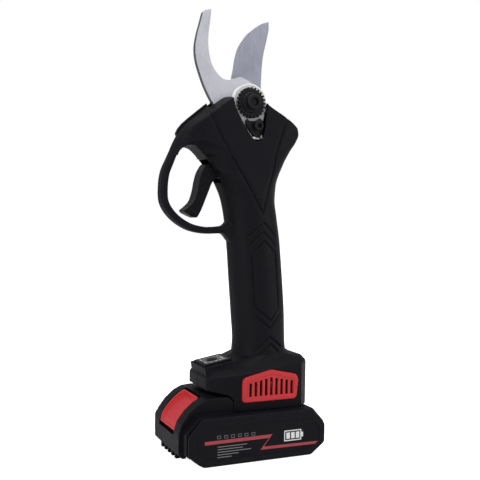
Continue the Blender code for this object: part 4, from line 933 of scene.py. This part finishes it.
CASE_LINE = dict(half=50.5, top=31.7, top_cut=(9.4, 10.4), low_cut=(10.6, 7.8))
CHEEK_LINE = dict(half=49.8, top=31.5, top_cut=(9.7, 10.9), low_cut=(10.5, 7.7))


def build_case():
    """The battery's shell with the hump for the release, and its floor."""
    case = outline("case", rounded(octagon(**CASE_LINE), 1.2), -CASE_WIDE, CASE_WIDE, 0.5)
    hump = outline("hump", HUMP_LINE, -25.0, 25.0)
    bm = bmesh.new()
    bm.from_mesh(hump.data)
    edges = [e for e in bm.edges if all(abs(v.co.y) > 24.9 and v.co.z > 6.5 for v in e.verts)]
    bmesh.ops.bevel(bm, geom=edges, offset=3.4, segments=4, profile=0.42, affect="EDGES", clamp_overlap=True)
    bm.to_mesh(hump.data)
    bm.free()
    join(case, hump)
    join(case, box("rail_neck", (-15, -16, 30), (30, 16, 41.5)))
    join(case, box("rail_head", (-15, -20, 36.8), (30, 20, 41.5)))
    cut(case, box("base_split", (-60, -40, -5), (60, 40, 4.3)))
    for i in range(5):
        y = -14.0 + 7.0 * i
        join(case, box("chin_rib", (-51.4, y - 1.5, 1.8), (-46.4, y + 1.5, 6.6), 0.35))
    cut(case, outline("cell_tunnel", [(-47.7, 2), (48.2, 2), (48.2, 20.8), (41.6, 28.4), (-41, 28.4),
        (-47.7, 20.8)], -40, 40))
    cut(case, outline("hump_hollow", [(-16.5, 24), (-16.5, 37.6), (-36.5, 37.6), (-38.8, 35.6), (-44, 31),
        (-47.6, 26.2), (-47.6, 24)], -20.5, 20.5))
    cut(case, box("latch_slot", (-26.2, -6.5, 30), (-19.8, 6.5, 50)))
    opening = [(-34.2, 44), (-38, 44), (-49, 38), (-56, 28), (-56, 17.4), (-47, 17.4), (-44.4, 24), (-40, 28),
        (-35, 31), (-32.4, 33), (-32.4, 40)]
    cut(case, outline("button_opening", opening, -15.05, 15.05))
    for i in range(4):
        x = -31.0 + 3.0 * i
        for y in (-13, 13):
            cut(case, box("hump_groove", (x - 0.35, y - 5.0, 41.35), (x + 0.35, y + 5.0, 50)))
    for y in (-9, 9):
        cut(case, box("terminal_slot", (19.5, y - 1.0, 33.5), (40, y + 1.0, 50)))
    settle(case, "battery_shell", "battery", "black_plastic", "battery_case")
    base = outline("base", rounded(octagon(**CASE_LINE), 1.2), -CASE_WIDE, CASE_WIDE, 0.8)
    cut(base, box("base_top_off", (-60, -40, 4), (60, 40, 60)))
    cut(base, box("base_pocket", (-36, -29.5, 2.2), (38, 29.5, 10)))
    for x, y in ((-33, -24), (33, -24), (-33, 24), (33, 24)):
        cut(base, rod("base_screw_hole", 3.2, -2, 1.2, (x, y, 0), along="Z", steps=32))
        cut(base, rod("base_foot_recess", 5.6, -1, 0.35, (x * 0.5, y, 0), "Z", steps=64))
    settle(base, "battery_floor", "battery", "black_plastic", "battery_base")


def build_cheeks():
    """The battery's side plates, each with a sunk field for the label."""
    for side, name, node in ((-1, "near_cheek", "left_cheek"), (1, "far_cheek", "right_cheek")):
        rings = []
        for y, inset in ((33, 0.3), (33.3, 0), (34.9, 0), (35.25, 0.15), (35.75, 0.85), (36, 1.5)):
            line = rounded(octagon(**CHEEK_LINE, inset=inset), 1.6, 4)
            rings.append([(x, side * y, z) for x, z in line])
        cheek = loft(name, rings)
        rings = []
        for y, grow in ((LABEL_FLOOR, 0), (35.9, 0.55), (37.5, 1)):
            line = rounded(octagon(45.3 + grow, 25.4 + grow, (7, 7.6), (8.2, 6.4), 3.2 - grow), 1.0, 3)
            rings.append([(x, side * y, z) for x, z in line])
        cut(cheek, loft("label_field", rings))
        low, high = span(side, 34.2, 37.0)
        for x in (-6.5, 4.7, 15.3, 27.8):
            turn = Matrix.Translation((x, 0, 29.6)) @ Matrix.Rotation(radians(18), 4, "Y")
            cut(cheek, box("tick", (-0.22, low, -1.6), (0.22, high, 2.4), 0, turn))
        settle(cheek, name + "_panel", "battery", "black_plastic", node)


def rectangle(left, bottom, right, top):
    return [(left, bottom), (right, bottom), (right, top), (left, top)]


def decal(name, points, side, mat, hole=None):
    """Print on one cheek, the same way round for whoever looks at that cheek."""
    def seen(line):
        return [(-side * x, z) for x, z in line]

    ink = outline(name, seen(points), *span(side, LABEL_FLOOR - 0.02, LABEL_FLOOR + (0.05 if hole else 0.06)))
    if hole:
        cut(ink, outline("print_hole", seen(hole), -37, 37))
    settle(ink, f"{name}_{'near' if side < 0 else 'far'}", "battery", None, mat=mat)


def build_prints(side):
    """The label: a stepped stripe, plain squares and bars, and a battery-level pictogram."""
    band = [(-38.9, 16.8), (9.6, 17.1), (3.3, 9.4), (45.3, 8.9), (45.3, 7.1), (0.7, 7.5), (7.2, 14.8),
        (-38.9, 14.6)]
    decal("stripe", band, side, INK_RED)
    squares = ((-29, 18.9), (-24, 18.9), (-19.2, 18.8), (-14.3, 18.8), (-9.6, 18.7), (-4.6, 18.7))
    for i, (x, z) in enumerate(squares, 1):
        rim, hole = (rectangle(x - r, z - r + 0.3, x + r, z + r - 0.3) for r in (1.3, 1))
        decal(f"label_square_{i}", rim, side, INK_GREY, hole)
    for i, (z, right) in enumerate(((12.6, -9), (10.9, -12), (9.2, -6), (7.5, -15), (5.8, -20)), 1):
        decal(f"label_bar_{i}", rectangle(-30, z - 0.28, right, z + 0.28), side, INK_GREY)
    cell = [(18.4, 11.2), (31.4, 11.2), (31.4, 13.2), (32.8, 13.2), (32.8, 16.4), (31.4, 16.4), (31.4, 18.4),
        (18.4, 18.4)]
    decal("level_gauge", cell, side, INK_WHITE, rectangle(19.1, 11.9, 30.7, 17.7))
    for i in range(3):
        x = 20.0 + 3.6 * i
        decal(f"gauge_bar_{i + 1}", rectangle(x, 12.7, x + 2.7, 16.9), side, INK_WHITE)


def build_button():
    """Release button: a curved slab with a scooped middle, a raised rim and faint finger steps."""
    outer = smooth_path([(-35.2, 40.9), (-39.9, 37.9), (-46.2, 32.4), (-50.9, 26.2), (-52.7, 20)], 10)
    inner = smooth_path([(-33.6, 37), (-38, 34.4), (-43.2, 30), (-47.4, 24.6), (-49.4, 19.2)], 10)
    across = np.concatenate([[-1, -0.993, -0.976, -0.95], np.linspace(-0.92, 0.92, 61),
        [0.95, 0.976, 0.993, 1]])
    rings = []
    last = len(outer) - 1
    for i, ((ox, oz), (ix, iz)) in enumerate(zip(outer, inner)):
        s = i / last
        corner = max(0.0, 4.0 - s * 29.0)
        half = 10.7 + (16.0 - corner * corner) ** 0.5
        ring = []
        for y in across * half:
            end = min(s, 1 - s) * 29.0
            side_room = half - abs(y)
            rim = max(0.0, 1 - min(side_room, end) / 0.7)
            inward = min(max((side_room - 1.4) / 0.8, 0), 1) * min(max((end - 1.6) / 0.9, 0), 1)
            scoop = inward * inward * (3 - 2 * inward) * (3.3 - 2.7 * s)
            ripple = 0.10 * inward * (1 + sin(2 * pi * s * 7)) * (0.25 < s < 0.92)
            depth = (0.6 * rim * rim + scoop + ripple) / hypot(ix - ox, iz - oz)
            ring.append((ox + (ix - ox) * depth, y, oz + (iz - oz) * depth))
        ring += [(ix, half, iz), (ix, -half, iz)]
        rings.append(ring)
    button = loft("button", rings)
    settle(button, "release_button_cap", "release", "red_plastic", "release_button", smooth=50)


build_case()
build_cheeks()
build_prints(-1)
build_prints(1)
build_button()


# ---------------------------------------------------------------- pieces kept from the CAD
for entry in frame["record"]["subparts"]:
    node = frame["nodes"].get(entry["node"])
    if node is not None and not node.hide_render:
        node.data.materials.clear()
        node.data.materials.append(SLOT_MATERIALS[entry["material_slot"]])
for leftover in list(WORK.objects):
    bpy.data.objects.remove(leftover, do_unlink=True)
bpy.data.collections.remove(WORK)


# ---------------------------------------------------------------- floor, light and camera
def build_floor():
    bm = bmesh.new()
    bmesh.ops.create_grid(bm, x_segments=8, y_segments=8, size=4.0)
    mesh = bpy.data.meshes.new("floor")
    bm.to_mesh(mesh)
    bm.free()
    floor = bpy.data.objects.new("studio_floor", mesh)
    SCENE.collection.objects.link(floor)
    n = Nodes("floor_paper")
    cloud = n.noise(6.0, 3.0)
    tone = n.mix(n.spread(cloud, 0.0, 1.0), (0.90, 0.90, 0.90), (0.93, 0.93, 0.93))
    paper = n.finish(tone, n.spread(cloud, 0.85, 0.95), [(n.noise(300.0), 0.05, 0.0001)], 0.0001,
        specular=0.1)
    camera_ray = n.add("LightPath").outputs["Is Camera Ray"]
    fill(n.tree, n.shader, {"Emission Color": (0.93, 0.93, 0.93), "Emission Strength": camera_ray})
    mesh.materials.append(paper)
    floor.location.z = -0.0004


def area_light(name, position, size, power, aim=(0, 0, 0.15)):
    lamp = bpy.data.lights.new(name, "AREA")
    lamp.shape = "RECTANGLE"
    lamp.size, lamp.size_y = size
    lamp.energy = power
    obj = bpy.data.objects.new(name, lamp)
    obj.location = position
    obj.rotation_euler = (Vector(position) - Vector(aim)).to_track_quat("Z", "Y").to_euler()
    SCENE.collection.objects.link(obj)


def build_world():
    world = bpy.data.worlds.new("studio")
    world.use_nodes = True
    tree = world.node_tree
    tree.nodes.clear()
    seen = add_node(tree, "Background", {"Color": (1, 1, 1), "Strength": 1.0})
    unseen = add_node(tree, "Background", {"Color": (0.96, 0.98, 1), "Strength": 0.42})
    camera_ray = add_node(tree, "LightPath").outputs["Is Camera Ray"]
    blend = add_node(tree, "MixShader", {0: camera_ray, 1: unseen.outputs[0], 2: seen.outputs[0]})
    add_node(tree, "OutputWorld", {"Surface": blend.outputs[0]})
    SCENE.world = world


def build_camera():
    yaw, pitch, roll = radians(24.30), radians(1.12), radians(0.87)
    target, distance = Vector((-0.00046, 0, 0.1455)), 0.5168
    back = Vector((-sin(yaw) * cos(pitch), -cos(yaw) * cos(pitch), sin(pitch)))
    right = Vector((cos(yaw), -sin(yaw), 0))
    up = back.cross(right)
    tilted_right = right * cos(roll) + up * sin(roll)
    tilted_up = up * cos(roll) - right * sin(roll)
    data = bpy.data.cameras.new("camera")
    data.sensor_width = 36.0
    data.lens = 55.32
    data.clip_start = 0.01
    camera = bpy.data.objects.new("camera", data)
    frame_axes = Matrix((tilted_right, tilted_up, back)).transposed().to_4x4()
    camera.matrix_world = Matrix.Translation(target + back * distance) @ frame_axes
    SCENE.collection.objects.link(camera)
    SCENE.camera = camera


build_floor()
build_world()
area_light("top_softbox", (-0.10, -0.25, 1.10), (1.1, 0.9), 6.0)
area_light("left_softbox", (-1.10, -0.45, 0.45), (0.7, 1.2), 4.5)
area_light("right_softbox", (0.85, -0.75, 0.40), (0.5, 1.1), 3.5)
build_camera()
SCENE.view_settings.view_transform = "Standard"
